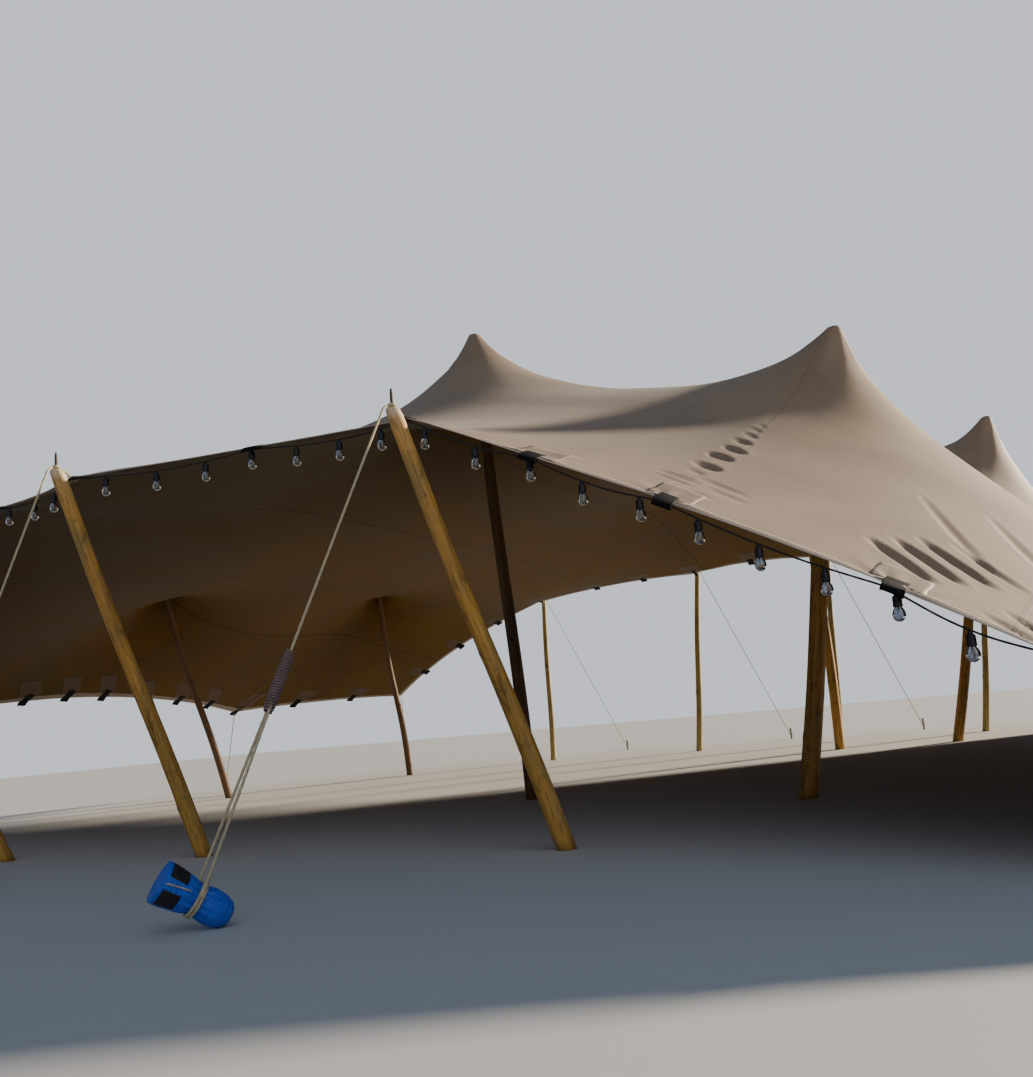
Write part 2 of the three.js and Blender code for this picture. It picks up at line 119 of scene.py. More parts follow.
# %% Light the studio
KEY_LIGHT = dict(azimuth=54, elevation=17, strength=9.2, colour=(1.0, 0.86, 0.68), angle=5)
FILL_LIGHT = dict(azimuth=-50, elevation=32, strength=0.55, colour=(0.88, 0.93, 1.0), angle=60)
SHADE_COLOUR, SHADE_STRENGTH = (0.50, 0.65, 0.95, 1), 0.23
BACKDROP_COLOUR, BACKDROP_STRENGTH = (0.80, 0.86, 0.93, 1), 0.95


def sun_lamp(name, azimuth, elevation, strength, colour, angle):
    data = bpy.data.lights.new(name, "SUN")
    data.energy, data.color, data.angle = strength, colour, math.radians(angle)
    lamp = bpy.data.objects.new(name, data)
    azimuth, elevation = math.radians(azimuth), math.radians(elevation)
    level = math.cos(elevation)
    toward = Vector((math.cos(azimuth) * level, math.sin(azimuth) * level, math.sin(elevation)))
    lamp.rotation_mode = "QUATERNION"
    lamp.rotation_quaternion = toward.to_track_quat("Z", "Y")
    bpy.context.scene.collection.objects.link(lamp)


sun_lamp("key_light", **KEY_LIGHT)
sun_lamp("fill_light", **FILL_LIGHT)
world = bpy.data.worlds.new("studio")
bpy.context.scene.world = world
world.use_nodes = True
sky = world.node_tree
shade = sky.nodes["Background"]
shade.inputs["Color"].default_value = SHADE_COLOUR
shade.inputs["Strength"].default_value = SHADE_STRENGTH
backdrop = sky.nodes.new("ShaderNodeBackground")
backdrop.inputs["Color"].default_value = BACKDROP_COLOUR
backdrop.inputs["Strength"].default_value = BACKDROP_STRENGTH
seen = sky.nodes.new("ShaderNodeLightPath")
choice = sky.nodes.new("ShaderNodeMixShader")
sky.links.new(seen.outputs["Is Camera Ray"], choice.inputs["Fac"])
sky.links.new(shade.outputs["Background"], choice.inputs[1])
sky.links.new(backdrop.outputs["Background"], choice.inputs[2])
sky.links.new(choice.outputs["Shader"], sky.nodes["World Output"].inputs["Surface"])
print("key light from azimuth", KEY_LIGHT["azimuth"], "at", KEY_LIGHT["elevation"], "degrees")

# %% [markdown]
# ## Meshes
#
# Every piece below is worked out as a list of points and a list of faces. Blender could also
# build them from curves and modifiers, but then the sheet and what is sewn on it would not share
# the same points. Three helpers do it: one makes an object, one puts many small parts into one
# mesh, and one gives the faces of a tube of rings.

# %% From points and faces to an object
def mesh_object(name, points, faces, materials):
    mesh = bpy.data.meshes.new(name)
    points = np.asarray(points, dtype=np.float32).reshape(-1, 3)
    mesh.from_pydata(points.tolist(), [], [list(map(int, face)) for face in faces])
    mesh.validate()
    mesh.polygons.foreach_set("use_smooth", [True] * len(mesh.polygons))
    for material in materials:
        mesh.materials.append(material)
    thing = bpy.data.objects.new(name, mesh)
    bpy.context.scene.collection.objects.link(thing)
    return thing


def joined_mesh(name, parts, material):
    """One object from many (points, faces) parts."""
    points, faces, start = [], [], 0
    for part_points, part_faces in parts:
        points.append(np.asarray(part_points))
        faces += [[index + start for index in face] for face in part_faces]
        start += len(part_points)
    return mesh_object(name, np.concatenate(points), faces, [material])


def tube_faces(rings, sides):
    """Faces of a closed tube: quads between the rings, and a flat cap on each end."""
    k, n = np.meshgrid(np.arange(rings - 1), np.arange(sides), indexing="ij")
    a, b = (k * sides + n).ravel(), (k * sides + (n + 1) % sides).ravel()
    faces = np.stack([a, b, b + sides, a + sides], axis=1).tolist()
    faces.append(list(range(sides - 1, -1, -1)))
    faces.append(list(range((rings - 1) * sides, rings * sides)))
    return faces


print("a tube of 3 rings with 4 sides has", len(tube_faces(3, 4)), "faces")

# %% [markdown]
# ## Finishes: shared effects
#
# Several finishes on the tent use the same effects, so each effect is one node group with named
# sockets: the knit of the cloth, its seams and stitches, the dust and stains of a season
# outdoors, the long grain of a debarked pole, and brushed steel. A group puts out only masks,
# heights and colour factors. Shaders stay in the materials.

# %% A small kit for node trees
def add_node(tree, kind, **settings):
    node = tree.nodes.new(kind)
    for key, value in settings.items():
        setattr(node, key, value)
    return node


def feed(tree, target, source):
    if isinstance(source, bpy.types.NodeSocket):
        tree.links.new(source, target)
    elif source is not None:
        target.default_value = source


def math_node(tree, operation, first, second=None):
    node = add_node(tree, "ShaderNodeMath", operation=operation)
    feed(tree, node.inputs[0], first)
    feed(tree, node.inputs[1], second)
    return node.outputs[0]


def remap(tree, value, low, high, out_low=0.0, out_high=1.0):
    node = add_node(tree, "ShaderNodeMapRange")
    node.interpolation_type = "SMOOTHSTEP"
    limits = {"From Min": low, "From Max": high, "To Min": out_low, "To Max": out_high}
    for name, number in limits.items():
        node.inputs[name].default_value = number
    feed(tree, node.inputs["Value"], value)
    return node.outputs["Result"]


print("number nodes: math and map range")


# %% Nodes that make patterns and colours
def noise(tree, vector, scale, detail=4.0, roughness=0.55, distortion=0.0):
    node = add_node(tree, "ShaderNodeTexNoise")
    feed(tree, node.inputs["Vector"], vector)
    node.inputs["Scale"].default_value = scale
    node.inputs["Detail"].default_value = detail
    node.inputs["Roughness"].default_value = roughness
    node.inputs["Distortion"].default_value = distortion
    return node.outputs["Fac"]


def stretched(tree, vector, factors):
    node = add_node(tree, "ShaderNodeVectorMath", operation="MULTIPLY")
    feed(tree, node.inputs[0], vector)
    node.inputs[1].default_value = factors
    return node.outputs[0]


def blend_colour(tree, factor, first, second):
    node = add_node(tree, "ShaderNodeMix", data_type="RGBA", blend_type="MIX")
    feed(tree, node.inputs["Factor"], factor)
    for socket, colour in ((node.inputs["A"], first), (node.inputs["B"], second)):
        feed(tree, socket, (*colour, 1) if isinstance(colour, tuple) else colour)
    return node.outputs["Result"]


def stained(tree, colour, mask, strength, stain):
    """The colour, turned toward the stain where the mask is, and never more than strength."""
    return blend_colour(tree, math_node(tree, "MULTIPLY", mask, strength), colour, stain)


def surface_place(tree):
    return add_node(tree, "ShaderNodeTexCoord").outputs["Object"]


def linear(red, green, blue):
    def one(value):
        value /= 255
        return value / 12.92 if value <= 0.04045 else ((value + 0.055) / 1.055) ** 2.4
    return one(red), one(green), one(blue)


print("a middle grey of 128 is", round(linear(128, 128, 128)[0], 3), "in linear light")

# %% Make a group, and place it in a material
def effect_group(name, inputs, outputs):
    """A node group with float sockets; an input given as None is a place, so a vector."""
    group = bpy.data.node_groups.new(name, "ShaderNodeTree")
    for label, value in inputs.items():
        kind = "NodeSocketVector" if value is None else "NodeSocketFloat"
        socket = group.interface.new_socket(label, in_out="INPUT", socket_type=kind)
        if value is not None:
            socket.default_value = value
    for label in outputs:
        group.interface.new_socket(label, in_out="OUTPUT", socket_type="NodeSocketFloat")
    given, out = add_node(group, "NodeGroupInput"), add_node(group, "NodeGroupOutput")
    return group, given.outputs, out.inputs


def place_effect(tree, group, **values):
    node = add_node(tree, "ShaderNodeGroup", node_tree=group)
    for label, value in values.items():
        feed(tree, node.inputs[label.replace("_", " ")], value)
    return node.outputs


print("groups start with their inputs and outputs only")

# %% Effect: knitted cloth
def knit_effect():
    group, given, out = effect_group(
        "knitted_cloth", {"Place": None, "Loops": 260.0}, ["Height", "Slub"])
    courses = add_node(group, "ShaderNodeVectorMath", operation="SCALE")
    feed(group, courses.inputs[0], given["Place"])
    feed(group, courses.inputs["Scale"], given["Loops"])
    loops = add_node(group, "ShaderNodeTexVoronoi", feature="F1")
    feed(group, loops.inputs["Vector"], courses.outputs[0])
    loops.inputs["Scale"].default_value = 1.0
    slub = noise(group, stretched(group, given["Place"], (90, 90, 14)), 1.0, 3)
    height = math_node(group, "SUBTRACT", 1.0, loops.outputs["Distance"])
    height = math_node(group, "ADD", height, math_node(group, "MULTIPLY", slub, 0.8))
    feed(group, out["Height"], height)
    feed(group, out["Slub"], slub)
    return group


knit = knit_effect()
knit_sockets = [socket.name for socket in knit.interface.items_tree if socket.in_out == "OUTPUT"]
print("knit gives", knit_sockets)

# %% Effect: weather, dust and stains
def weather_effect():
    group, given, out = effect_group(
        "weather", {"Place": None, "Size": 1.0}, ["Dust", "Stain", "Cloud"])
    sized = add_node(group, "ShaderNodeVectorMath", operation="SCALE")
    feed(group, sized.inputs[0], given["Place"])
    feed(group, sized.inputs["Scale"], given["Size"])
    broad = noise(group, sized.outputs[0], 0.9, 5, 0.6, 0.4)
    runs = noise(group, stretched(group, sized.outputs[0], (5.0, 5.0, 0.7)), 1.0, 5, 0.65)
    specks = noise(group, sized.outputs[0], 38.0, 3, 0.7)
    feed(group, out["Dust"], remap(group, math_node(group, "MULTIPLY", broad, specks), 0.24, 0.42))
    feed(group, out["Stain"], remap(group, runs, 0.55, 0.78))
    feed(group, out["Cloud"], broad)
    return group


weather = weather_effect()
print("weather has", len(weather.nodes), "nodes")

# %% Effect: long grain of a pole, with its silvered and its green patches
def grain_effect():
    group, given, out = effect_group(
        "long_grain", {"Along": None, "Knot": 0.0},
        ["Grain", "Check", "Height", "Ring", "Silver", "Olive"])
    fibre = noise(group, stretched(group, given["Along"], (70, 70, 3.2)), 1.0, 6, 0.65, 0.6)
    coarse = noise(group, stretched(group, given["Along"], (16, 16, 1.1)), 1.0, 4, 0.55, 0.3)
    crack = noise(group, stretched(group, given["Along"], (42, 42, 1.6)), 1.0, 2, 0.4)
    away = math_node(group, "ABSOLUTE", math_node(group, "SUBTRACT", crack, 0.5))
    check = math_node(group, "SUBTRACT", 1.0, remap(group, away, 0.004, 0.020))
    ring = math_node(group, "SINE", math_node(group, "MULTIPLY", given["Knot"], 26.0))
    silver = noise(group, stretched(group, given["Along"], (5, 5, 1.3)), 1.0, 4, 0.6, 0.8)
    olive = noise(group, stretched(group, given["Along"], (11, 11, 7)), 1.0, 5, 0.7, 1.2)
    fibre_part = math_node(group, "MULTIPLY", fibre, 0.55)
    grain = math_node(group, "ADD", fibre_part, math_node(group, "MULTIPLY", coarse, 0.45))
    height = math_node(group, "SUBTRACT", grain, math_node(group, "MULTIPLY", check, 0.5))
    feed(group, out["Grain"], grain)
    feed(group, out["Check"], check)
    feed(group, out["Height"], height)
    feed(group, out["Ring"], math_node(group, "MULTIPLY", ring, given["Knot"]))
    feed(group, out["Silver"], remap(group, silver, 0.46, 0.60))
    feed(group, out["Olive"], remap(group, olive, 0.50, 0.66))
    return group


grain = grain_effect()
print("long grain has", len(grain.nodes), "nodes")

# %% Effect: the seams between the widths of the cloth
SEAM_EVERY, SEAM_AT, SEAM_WIDTH = 1.61, 3.19, 0.014


def seam_effect():
    """1 on the lines that lie SEAM_EVERY apart along one direction of the flat cloth."""
    group, given, out = effect_group("cloth_seams", {"Across": 0.0}, ["Seam"])
    shifted = math_node(group, "SUBTRACT", given["Across"], SEAM_AT - 100 * SEAM_EVERY)
    phase = math_node(group, "PINGPONG", shifted, SEAM_EVERY / 2)
    line = remap(group, phase, SEAM_WIDTH * 0.5, SEAM_WIDTH)
    feed(group, out["Seam"], math_node(group, "SUBTRACT", 1.0, line))
    return group


seams = seam_effect()
print("a seam every", SEAM_EVERY, "m of cloth")

# %% Effect: two rows of stitches
STITCH_PITCH = 0.009


def stitch_effect():
    """Dashed stitches in two rows at their distances from an edge; equal distances give one row."""
    group, given, out = effect_group(
        "stitches", {"Along": 0.0, "Across": 0.0, "First Row": 0.0, "Second Row": 0.0}, ["Stitch"])
    lines = []
    for row in ("First Row", "Second Row"):
        away = math_node(group, "SUBTRACT", given["Across"], given[row])
        away = remap(group, math_node(group, "ABSOLUTE", away), 0.0008, 0.0022)
        lines.append(math_node(group, "SUBTRACT", 1.0, away))
    along = math_node(group, "PINGPONG", given["Along"], STITCH_PITCH)
    dash = remap(group, along, STITCH_PITCH * 0.25, STITCH_PITCH * 0.45)
    either = math_node(group, "MAXIMUM", *lines)
    feed(group, out["Stitch"], math_node(group, "MULTIPLY", either, dash))
    return group


stitches = stitch_effect()
print("a stitch every", STITCH_PITCH * 2000, "mm")

# %% Effect: brushed steel
def brushed_effect():
    group, given, out = effect_group("brushed_steel", {"Place": None}, ["Brushed"])
    scratched = stretched(group, given["Place"], (300, 300, 40))
    feed(group, out["Brushed"], noise(group, scratched, 1.0, 3))
    return group


brushed_steel = brushed_effect()
print("effects:", [group.name for group in bpy.data.node_groups])

# %% A material begins with its shader
def start_finish(name, roughness=0.7, metallic=0.0, **sockets):
    material = bpy.data.materials.new(name)
    material.use_nodes = True
    tree = material.node_tree
    shader = tree.nodes["Principled BSDF"]
    shader.inputs["Roughness"].default_value = roughness
    shader.inputs["Metallic"].default_value = metallic
    for label, value in sockets.items():
        shader.inputs[label.replace("_", " ")].default_value = value
    return material, tree, shader


def vary_roughness(tree, shader, mask, low, high):
    feed(tree, shader.inputs["Roughness"], remap(tree, mask, 0.3, 0.7, low, high))


def give_relief(tree, shader, height, strength, distance):
    bump = add_node(tree, "ShaderNodeBump")
    bump.inputs["Strength"].default_value = strength
    bump.inputs["Distance"].default_value = distance
    feed(tree, bump.inputs["Height"], height)
    feed(tree, shader.inputs["Normal"], bump.outputs["Normal"])


print("finishes start from the Principled shader")

# %% [markdown]
# ## Finish: the sheet
#
# The cloth is a two-way stretch knit with a matt coating, warm stone outside. Its inside is a
# warmer ochre, painted far darker: painted shade, for the shade that lies under the sheet. It
# is not one colour: sun has bleached it in clouds, rain has left faint runs down the slopes, and
# dust lies on it in flecks. Each seam between two widths of cloth shows as one narrow raised
# line. Seams follow the cut of the cloth, so they are drawn from its own UV map, which holds
# metres of flat cloth.

# %% The sheet's outside and inside
CLOTH_MAP = "flat_cloth"


def cloth_finish(name, pale, deep, stain, dust_gain, seam_gain, roughness, sheen):
    material, tree, shader = start_finish(name, roughness)
    place = surface_place(tree)
    loops = place_effect(tree, knit, Place=place)
    season = place_effect(tree, weather, Place=place)
    flat = add_node(tree, "ShaderNodeUVMap", uv_map=CLOTH_MAP)
    split = add_node(tree, "ShaderNodeSeparateXYZ")
    feed(tree, split.inputs[0], flat.outputs["UV"])
    seam = place_effect(tree, seams, Across=split.outputs["X"])["Seam"]
    colour = blend_colour(tree, remap(tree, season["Cloud"], 0.35, 0.65), deep, pale)
    colour = stained(tree, colour, season["Stain"], 0.30, stain)
    colour = stained(tree, colour, season["Dust"], dust_gain, stain)
    colour = stained(tree, colour, loops["Slub"], 0.16, stain)
    colour = stained(tree, colour, seam, seam_gain, stain)
    feed(tree, shader.inputs["Base Color"], colour)
    vary_roughness(tree, shader, season["Cloud"], roughness - 0.06, roughness + 0.06)
    height = math_node(tree, "ADD", math_node(tree, "MULTIPLY", loops["Height"], 0.25), seam)
    give_relief(tree, shader, height, 0.35, 0.0015)
    shader.inputs["Sheen Weight"].default_value = sheen
    shader.inputs["Sheen Roughness"].default_value = 0.45
    shader.inputs["Specular IOR Level"].default_value = 2 * sheen + 0.15
    return material


cloth_outside = cloth_finish(
    "stretch_cloth_outside", linear(160, 136, 108), linear(145, 122, 96), linear(110, 88, 68),
    dust_gain=0.18, seam_gain=0.22, roughness=0.62, sheen=0.12)
# The inside: a warmer ochre, painted far darker as painted shade under the sheet.
cloth_inside_painted_shade = cloth_finish(
    "stretch_cloth_inside_painted_shade", linear(98, 70, 10), linear(80, 57, 8), linear(50, 36, 6),
    dust_gain=0.20, seam_gain=0.75, roughness=0.70, sheen=0.02)
print("sheet finishes ready, seams every", SEAM_EVERY, "m")

# %% [markdown]
# ## Finish: timber
#
# The poles are round softwood with the bark peeled off: long fibres, knots where the branches
# were, drying cracks along the grain, and grey weathering on top. The grain has to run along each
# pole and not along the world, and the poles lean, so each mesh carries a point attribute with
# its place on an upright stick, and the grain reads that.

# %% Timber finishes
SILVERED, GREENED, BARE_TIP = linear(128, 122, 84), linear(88, 74, 30), linear(212, 190, 152)


def timber_finish(name, pale, deep, dark, weathered):
    material, tree, shader = start_finish(name, 0.62)
    along = add_node(tree, "ShaderNodeAttribute", attribute_name="stick").outputs["Vector"]
    knot = add_node(tree, "ShaderNodeAttribute", attribute_name="knot").outputs["Fac"]
    tip = add_node(tree, "ShaderNodeAttribute", attribute_name="tip").outputs["Fac"]
    wood = place_effect(tree, grain, Along=along, Knot=knot)
    season = place_effect(tree, weather, Place=along, Size=6.0)
    colour = blend_colour(tree, remap(tree, wood["Grain"], 0.34, 0.64), deep, pale)
    colour = stained(tree, colour, wood["Silver"], weathered, SILVERED)
    colour = stained(tree, colour, wood["Olive"], 0.55, GREENED)
    colour = blend_colour(tree, remap(tree, knot, 0.25, 0.75), colour, dark)
    colour = stained(tree, colour, wood["Check"], 0.55, dark)
    colour = stained(tree, colour, season["Stain"], 0.45, dark)
    colour = blend_colour(tree, tip, colour, BARE_TIP)
    feed(tree, shader.inputs["Base Color"], colour)
    vary_roughness(tree, shader, wood["Grain"], 0.72, 0.50)
    height = math_node(tree, "ADD", wood["Height"], math_node(tree, "MULTIPLY", wood["Ring"], 0.3))
    give_relief(tree, shader, height, 0.65, 0.004)
    return material


golden_timber = timber_finish(
    "golden_timber", linear(228, 172, 78), linear(180, 126, 46), linear(84, 52, 20), weathered=0.55)
# A darker copy of the timber: painted shade for king pole 1 and the lift poles, which stand in
# shade.
timber_painted_shade = timber_finish(
    "timber_painted_shade", linear(122, 84, 46), linear(84, 54, 28), linear(36, 22, 12), weathered=0.25)
pale_timber = timber_finish(
    "pale_timber", linear(208, 186, 124), linear(172, 144, 82), linear(96, 72, 38), weathered=0.55)
print("timber finishes:", golden_timber.name, timber_painted_shade.name, pale_timber.name)

# %% [markdown]
# ## Finishes: fibre and steel
#
# Rope, webbing, the lamps' rubber and the padded cover are all threads at one scale or another,
# so one function makes them all from the knit group, with its own thread count, colours and
# relief. The pegs and spikes are steel: brushed along their length, and dull and brown wherever
# the weather has reached them.

# %% Rope, webbing, rubber and padded cover
def fibre_finish(name, pale, deep, roughness, threads, relief):
    material, tree, shader = start_finish(name, roughness)
    place = surface_place(tree)
    loops = place_effect(tree, knit, Place=place, Loops=threads)
    season = place_effect(tree, weather, Place=place, Size=4.0)
    # Colour by the knit's height: deep in the hollows between the loops is painted shade; the
    # slub's uneven tone is real.
    colour = blend_colour(tree, remap(tree, loops["Height"], 0.4, 1.3), deep, pale)
    colour = stained(tree, colour, season["Stain"], 0.4, deep)
    colour = stained(tree, colour, season["Dust"], 0.3, deep)
    feed(tree, shader.inputs["Base Color"], colour)
    vary_roughness(tree, shader, season["Cloud"], roughness - 0.08, roughness + 0.08)
    give_relief(tree, shader, loops["Height"], 0.6, relief)
    return material


rope_fibre = fibre_finish(
    "cream_rope", linear(222, 208, 172), linear(176, 158, 118),
    roughness=0.85, threads=700, relief=0.0012)
wound_fibre = fibre_finish(
    "grey_wound_rope", linear(146, 126, 120), linear(98, 80, 78),
    roughness=0.85, threads=600, relief=0.0012)
webbing = fibre_finish(
    "black_webbing", linear(22, 22, 24), linear(9, 9, 10),
    roughness=0.72, threads=420, relief=0.001)
webbing.node_tree.nodes["Principled BSDF"].inputs["Specular IOR Level"].default_value = 0.15
blue_cover = fibre_finish(
    "blue_cover", linear(44, 118, 240), linear(16, 66, 184),
    roughness=0.42, threads=240, relief=0.0015)
black_cover = fibre_finish(
    "black_cover", linear(38, 40, 38), linear(18, 20, 20),
    roughness=0.6, threads=240, relief=0.001)
rubber = fibre_finish(
    "lamp_rubber", linear(26, 26, 28), linear(14, 14, 15),
    roughness=0.5, threads=90, relief=0.0006)
print("fibre finishes ready")

# %% Steel
def worn_metal(name, colour, rust, roughness):
    material, tree, shader = start_finish(name, roughness, 1.0)
    place = surface_place(tree)
    season = place_effect(tree, weather, Place=place, Size=30.0)
    brushed = place_effect(tree, brushed_steel, Place=place)["Brushed"]
    dull = math_node(tree, "MAXIMUM", season["Stain"], season["Dust"])
    feed(tree, shader.inputs["Base Color"], blend_colour(tree, dull, colour, rust))
    feed(tree, shader.inputs["Metallic"], remap(tree, dull, 0.2, 0.8, 1.0, 0.25))
    vary_roughness(tree, shader, brushed, roughness, roughness + 0.3)
    give_relief(tree, shader, math_node(tree, "ADD", brushed, dull), 0.4, 0.0008)
    return material


peg_steel = worn_metal("peg_steel", linear(150, 148, 142), linear(96, 62, 38), roughness=0.35)
spike_steel = worn_metal("spike_steel", linear(112, 108, 100), linear(104, 84, 62), roughness=0.55)
print("steel finishes ready")

# %% [markdown]
# ## The floor
#
# The studio's floor is a plain pale square, a hair below the feet of the poles, so that nothing
# on it flickers. It isn't a piece of the tent.

# %% Lay the floor
FLOOR_REACH, FLOOR_DROP = 45.0, -0.002
FLOOR_COLOURS = (0.56, 0.56, 0.54), (0.60, 0.60, 0.58)


def floor_finish():
    material, tree, shader = start_finish("studio_floor", 0.85)
    soft = noise(tree, surface_place(tree), 0.6, 3)
    feed(tree, shader.inputs["Base Color"], blend_colour(tree, soft, *FLOOR_COLOURS))
    return material


floor_corners = [
    (FLOOR_REACH * x, FLOOR_REACH * y, FLOOR_DROP) for x, y in ((-1, -1), (1, -1), (1, 1), (-1, 1))]
floor = mesh_object("studio_floor", floor_corners, [(0, 1, 2, 3)], [floor_finish()])
print("floor laid")

# %% [markdown]
# ## Where the sheet is held
#
# A stretched sheet has no shape of its own: its shape follows from where it is held. So the
# tables name the heads of the poles and the low ties, with the line of the flat cloth (u across,
# v from front to back) that each holds.

# %% Poles and ties
CLOTH = {"left": -6200, "right": 6000, "front": -5000, "back": 5300}
KING_POLES = {
    "king_pole_1": dict(u=530, v=-1950, head=(530, -1800, 3600), foot=(450, -1350), radii=(52, 40)),
    "king_pole_2": dict(
        u=3270, v=-1950, head=(3270, -2090, 2850), foot=(2760, -2240), radii=(58, 46)),
    "king_pole_3": dict(u=3860, v=2950, head=(3850, 2710, 3200), foot=(3070, 3080), radii=(55, 42)),
    "king_pole_4": dict(u=1660, v=2950, head=(1950, 2900, 3700), foot=(1900, 3000), radii=(52, 40)),
    "lift_pole_1": dict(u=-4830, v=-10, head=(-4790, -50, 2450), foot=(-4790, 880), radii=(42, 36)),
    "lift_pole_2": dict(
        u=-4100, v=3140, head=(-4033, 3110, 2510), foot=(-3970, 3470), radii=(42, 36)),
}
FRONT_POLES = [
    dict(u=1660, head=(1730, -4790, 2050), foot=(2090, -4150), peg=(1600, -5830)),
    dict(u=-200, head=(-240, -5030, 2100), foot=(-240, -4080), peg=(-120, -5860)),
    dict(u=-2400, head=(-2250, -5000, 2100), foot=(-1960, -4080), peg=(-2350, -5900)),
    dict(u=-4100, head=(-4250, -4850, 1950), foot=(-4000, -4050), peg=(-4500, -5750)),
]
REAR_POLES = [
    dict(u=-2400, head=(-2650, 5400, 2350), foot=(-2530, 5000), peg=(-2100, 6750)),
    dict(u=-200, head=(-150, 5200, 2400), foot=(-280, 4800), peg=(500, 6600)),
    dict(u=1660, head=(1600, 5300, 2360), foot=(1530, 4900), peg=(2300, 6600)),
    dict(u=3860, head=(3500, 5300, 2300), foot=(3200, 4900), peg=(4200, 6600)),
]
LOW_TIES = {
    "left_tie_1": dict(u=-6200, v=-5000, hold=(-6200, -4500, 1150), peg=(-7050, -5250)),
    "left_tie_2": dict(u=-6200, v=-1950, hold=(-6300, -2400, 1150), peg=(-7150, -2500)),
    "left_tie_3": dict(u=-6200, v=2950, hold=(-5900, 2200, 1050), peg=(-6350, 2450)),
    "left_tie_4": dict(u=-6200, v=5300, hold=(-4800, 4600, 1130), peg=(-5400, 5500)),
    "right_tie_1": dict(u=6000, v=-5000, hold=(5020, -5400, 140), peg=(5280, -5630)),
    "right_tie_2": dict(u=6000, v=-1950, hold=(5900, -1700, 140), peg=(6200, -1700)),
    "right_tie_3": dict(u=6000, v=2950, hold=(5900, 2500, 140), peg=(6200, 2500)),
    "right_tie_4": dict(u=6000, v=5300, hold=(5300, 5300, 140), peg=(5560, 5520)),
}
CAP_REACH, CAP_SHOULDER, WIDEST_CELL = 55, 190, 640
GAP = 0.3
CAP_LIFT = GAP + 5
EYE_REACH, EYE_DROP = 90, 25
print(len(KING_POLES), "poles inside,", len(FRONT_POLES + REAR_POLES), "at the hem")

# %% [markdown]
# ## Pulling the sheet tight
#
# One could drape a cloth simulation over the poles, but a tent like this is in pure tension and
# hardly sags. It is quicker and steadier to solve the balance of a net: each knot lies at the
# weighted mean of its neighbours, and the weights say how hard each stretch of cloth or hem
# pulls. With fixed weights that is one set of linear equations.

# %% Lines of the net
def net_lines(start, end, heads, plain):
    marks = {start, end, *plain}
    for head in heads:
        marks |= {head + step for step in (-CAP_SHOULDER, -CAP_REACH, 0, CAP_REACH, CAP_SHOULDER)}
    marks = sorted(marks)
    lines = [marks[0]]
    for before, after in zip(marks, marks[1:]):
        cells = math.ceil((after - before) / WIDEST_CELL)
        lines += [before + (after - before) * k / cells for k in range(1, cells + 1)]
    return np.array(lines, dtype=float)


def nearest(lines, value):
    return int(np.argmin(abs(lines - value)))


head_u = sorted({pole["u"] for pole in KING_POLES.values()})
head_v = sorted({pole["v"] for pole in KING_POLES.values()})
hem_u = [pole["u"] for pole in FRONT_POLES + REAR_POLES if pole["u"] not in head_u]
net_u = net_lines(CLOTH["left"], CLOTH["right"], head_u, hem_u)
net_v = net_lines(CLOTH["front"], CLOTH["back"], head_v, [])
print("net of", len(net_u), "by", len(net_v), "lines")

# %% What holds the net
def eye_of(pole):
    x, y, z = pole["head"]
    return x, y - math.copysign(EYE_REACH, y), z - EYE_DROP


held = {}
for pole in KING_POLES.values():
    column, row = nearest(net_u, pole["u"]), nearest(net_v, pole["v"])
    x, y, z = pole["head"]
    for a in (-1, 0, 1):
        for b in (-1, 0, 1):
            held[column + a, row + b] = (x + a * CAP_REACH, y + b * CAP_REACH, z + CAP_LIFT)
for row, poles in ((0, FRONT_POLES), (len(net_v) - 1, REAR_POLES)):
    for pole in poles:
        held[nearest(net_u, pole["u"]), row] = eye_of(pole)
for tie in LOW_TIES.values():
    held[nearest(net_u, tie["u"]), nearest(net_v, tie["v"])] = tie["hold"]
print("held knots:", len(held))

# %% Solve the balance
HEM_PULL = {"front": 2400, "front_right": 9000, "left": 14000,
            "rear_left": 9000, "rear": 3600, "right": 6000}
HEAD_PULL = 270


def share_of_cloth(lines):
    half = np.diff(lines) / 2
    return np.append(half, 0) + np.insert(half, 0, 0)


def hem_pull(i, j, along_u):
    if along_u and j == 0:
        past_poles = i >= nearest(net_u, FRONT_POLES[0]["u"])
        return HEM_PULL["front_right" if past_poles else "front"]
    if along_u and j == len(net_v) - 1:
        before_poles = i < nearest(net_u, REAR_POLES[0]["u"])
        return HEM_PULL["rear_left" if before_poles else "rear"]
    if not along_u and i in (0, len(net_u) - 1):
        return HEM_PULL["left"] if i == 0 else HEM_PULL["right"]
    return 0


